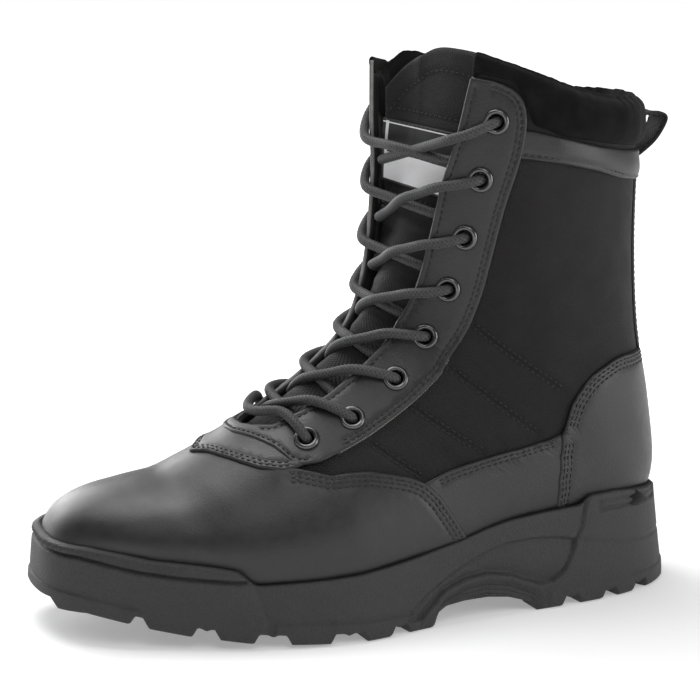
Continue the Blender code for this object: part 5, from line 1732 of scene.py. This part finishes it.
def lace_paths():
    """The arms of each crossing and the bar over the lowest eyelets."""
    samples = tongue_samples()
    crossings = []
    for index in range(len(EYELETS) - 1):
        outer_on_top = index != 0
        raised = [(1, outer_on_top), (-1, not outer_on_top)]
        crossings.append([lace_arm(index, side, samples, over) for side, over in raised])
    ends = []
    for side in (1, -1):
        station, angle = EYELETS[-1]
        edge = float(throat_angle(station, side))
        entry = eyelet_entry(station, float(side_angle(station, angle, side)), station, edge)
        ends.append(entry + [skin(station, edge * 0.9, LACE_OVER + 0.0004)])
    start, end = ends
    middle = []
    for t, bow in ((0.25, 0.006), (0.5, 0.0085), (0.75, 0.0085)):
        point = start[-1] + (end[-1] - start[-1]) * t + np.array([0, -bow, -0.4 * bow])
        middle.append(rest_on_tongue(point, samples, -0.0004))
    return crossings, smooth_path(start + middle + end[::-1])


def make_laces(crossings, bar):
    for index, arms in enumerate(crossings):
        braid_tube(f"braided_lace_{index + 1}", arms, [f"lace_cross_{index + 1}"])
    braid_tube("braided_lace_bar", [bar], ["lace_bar"])


def seam_tree():
    """Node tree that lays one thread stitch on every point, along its run and on its surface."""
    tree = bpy.data.node_groups.new("sewn_seam", "GeometryNodeTree")
    face = tree.interface
    face.new_socket("Seam", in_out="INPUT", socket_type="NodeSocketGeometry")
    settings = [
        face.new_socket("Stitch length", in_out="INPUT", socket_type="NodeSocketFloat"),
        face.new_socket("Thread radius", in_out="INPUT", socket_type="NodeSocketFloat"),
        face.new_socket("Thread", in_out="INPUT", socket_type="NodeSocketMaterial"),
    ]
    face.new_socket("Stitches", in_out="OUTPUT", socket_type="NodeSocketGeometry")
    start = add_node(tree, "NodeGroupInput")
    thick = start.outputs["Thread radius"]
    ball = add_node(tree, "GeometryNodeMeshUVSphere", {"Segments": 6, "Rings": 5, "Radius": 1.0})
    half = add_node(tree, "ShaderNodeMath", {0: start.outputs["Stitch length"], 1: 0.5}, operation="MULTIPLY")
    size = add_node(tree, "ShaderNodeCombineXYZ", {0: half.outputs[0], 1: thick, 2: thick})
    shape = add_node(tree, "GeometryNodeTransform", {
        "Geometry": ball.outputs["Mesh"], "Scale": size.outputs[0]})
    named = "GeometryNodeInputNamedAttribute"
    run, out = [add_node(tree, named, {0: name}, data_type="FLOAT_VECTOR").outputs[0]
                for name in ("run", "out")]
    aim = add_node(tree, "FunctionNodeAlignEulerToVector", {"Vector": out}, axis="Z")
    turn = add_node(tree, "FunctionNodeAlignEulerToVector", {"Rotation": aim.outputs[0], "Vector": run},
                    axis="X", pivot_axis="Z")
    lay = add_node(tree, "GeometryNodeInstanceOnPoints", {
        "Points": start.outputs["Seam"], "Instance": shape.outputs[0], "Rotation": turn.outputs[0]})
    real = add_node(tree, "GeometryNodeRealizeInstances", {0: lay.outputs[0]})
    dye = add_node(tree, "GeometryNodeSetMaterial", {
        "Geometry": real.outputs[0], "Material": start.outputs["Thread"]})
    add_node(tree, "NodeGroupOutput", {0: dye.outputs[0]})
    return tree, [socket.identifier for socket in settings]


def make_stitches():
    """All stitches as one mesh, laid by the node tree and realized."""
    places, runs, outs = [np.vstack(column) for column in zip(*SEAMS)]
    mesh = bpy.data.meshes.new("stitches")
    mesh.from_pydata(places.tolist(), [], [])
    for name, values in (("run", runs), ("out", outs)):
        mesh.attributes.new(name, "FLOAT_VECTOR", "POINT").data.foreach_set("vector", unit(values).ravel())
    item = placed("seam_stitches", mesh)
    tree, (length, thick, thread) = seam_tree()
    modifier = item.modifiers.new("sew", "NODES")
    modifier.node_group = tree
    modifier[length] = STITCH_LENGTH
    modifier[thick] = THREAD
    modifier[thread] = MATERIALS["thread"]
    graph = bpy.context.evaluated_depsgraph_get()
    sewn = bpy.data.meshes.new_from_object(item.evaluated_get(graph))
    item.modifiers.remove(modifier)
    item.data = sewn
    bpy.data.meshes.remove(mesh)
    sewn.shade_smooth()
    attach(item, BODY)


def make_floor():
    """Pale floor that glows to white away from the boot."""
    floor = mesh_of("floor", [(-6, -6, 0), (6, -6, 0), (6, 6, 0), (-6, 6, 0)], [(0, 1, 2, 3)])
    item = placed("pale_floor", floor)
    p = Paint("pale floor")
    far = p.add("ShaderNodeVectorMath", {0: p.where()}, operation="LENGTH").outputs["Value"]
    glow = p.band(far, 0.22, 0.95, 0.30, 1.0)
    floor.materials.append(p.finish(Base_Color=(0.82, 0.82, 0.82, 1), Roughness=0.9, Specular_IOR_Level=0.1,
                                    Emission_Color=(1, 1, 1, 1), Emission_Strength=glow))


def make_world():
    """White studio: soft light on the boot, plain white behind it."""
    world = bpy.data.worlds.new("white studio")
    world.use_nodes = True
    tree = world.node_tree
    soft = tree.nodes["Background"]
    soft.inputs["Color"].default_value = (1, 1, 1, 1)
    soft.inputs["Strength"].default_value = 0.20
    plain = add_node(tree, "ShaderNodeBackground", {"Color": (1, 1, 1, 1)})
    ray = add_node(tree, "ShaderNodeLightPath")
    mix = add_node(tree, "ShaderNodeMixShader", {
        0: ray.outputs["Is Camera Ray"], 1: soft.outputs[0], 2: plain.outputs[0]})
    tree.links.new(mix.outputs[0], tree.nodes["World Output"].inputs["Surface"])
    bpy.context.scene.world = world


# Name, place, size, power, point it is aimed at
LAMPS = [
    ("overhead", (-0.35, -0.25, 1.50), 1.0, 18, (0, -0.02, 0.05)),
    ("left", (-1.40, -0.45, 0.55), 0.9, 16, (0, -0.05, 0.05)),
    ("right_back", (1.00, 1.15, 0.40), 0.8, 8, (0, 0.05, 0.08)),
    ("right_top", (1.00, -0.20, 1.30), 0.8, 6, (0, 0.00, 0.08)),
]


def make_lamps():
    for name, place, size, power, aim in LAMPS:
        data = bpy.data.lights.new(name, "AREA")
        data.size = size
        data.energy = power
        lamp = placed(name, data)
        lamp.location = place
        lamp.rotation_euler = (Vector(aim) - Vector(place)).to_track_quat("-Z", "Y").to_euler()


def make_camera():
    """The camera of the photograph."""
    camera = bpy.data.cameras.new("camera")
    camera.lens = CAMERA_LENS
    camera.sensor_width = 36
    camera.clip_start = 0.02
    view = placed("camera", camera)
    turn = math.radians(CAMERA_AZIMUTH)
    tilt = math.radians(CAMERA_ELEVATION)
    away = Vector((math.cos(tilt) * math.sin(turn), -math.cos(tilt) * math.cos(turn), math.sin(tilt)))
    view.location = Vector(CAMERA_TARGET) + away * CAMERA_DISTANCE
    view.rotation_euler = (-away).to_track_quat("-Z", "Y").to_euler()
    bpy.context.scene.camera = view
    bpy.context.scene.view_settings.view_transform = "Standard"


def main():
    crossings, bar = lace_paths()
    make_upper()
    make_vamp()
    make_strap()
    make_facing()
    make_side_panel(1, "side_panel_outer")
    make_side_panel(-1, "side_panel_inner")
    make_counter()
    make_band()
    make_backstay()
    make_collar()
    make_tongue(np.vstack([arm for arms in crossings for arm in arms] + [bar])[::3])
    make_label()
    make_loop()
    make_insole()
    make_outsole()
    make_eyelets()
    make_laces(crossings, bar)
    make_stitches()
    make_floor()
    make_world()
    make_lamps()
    make_camera()


main()
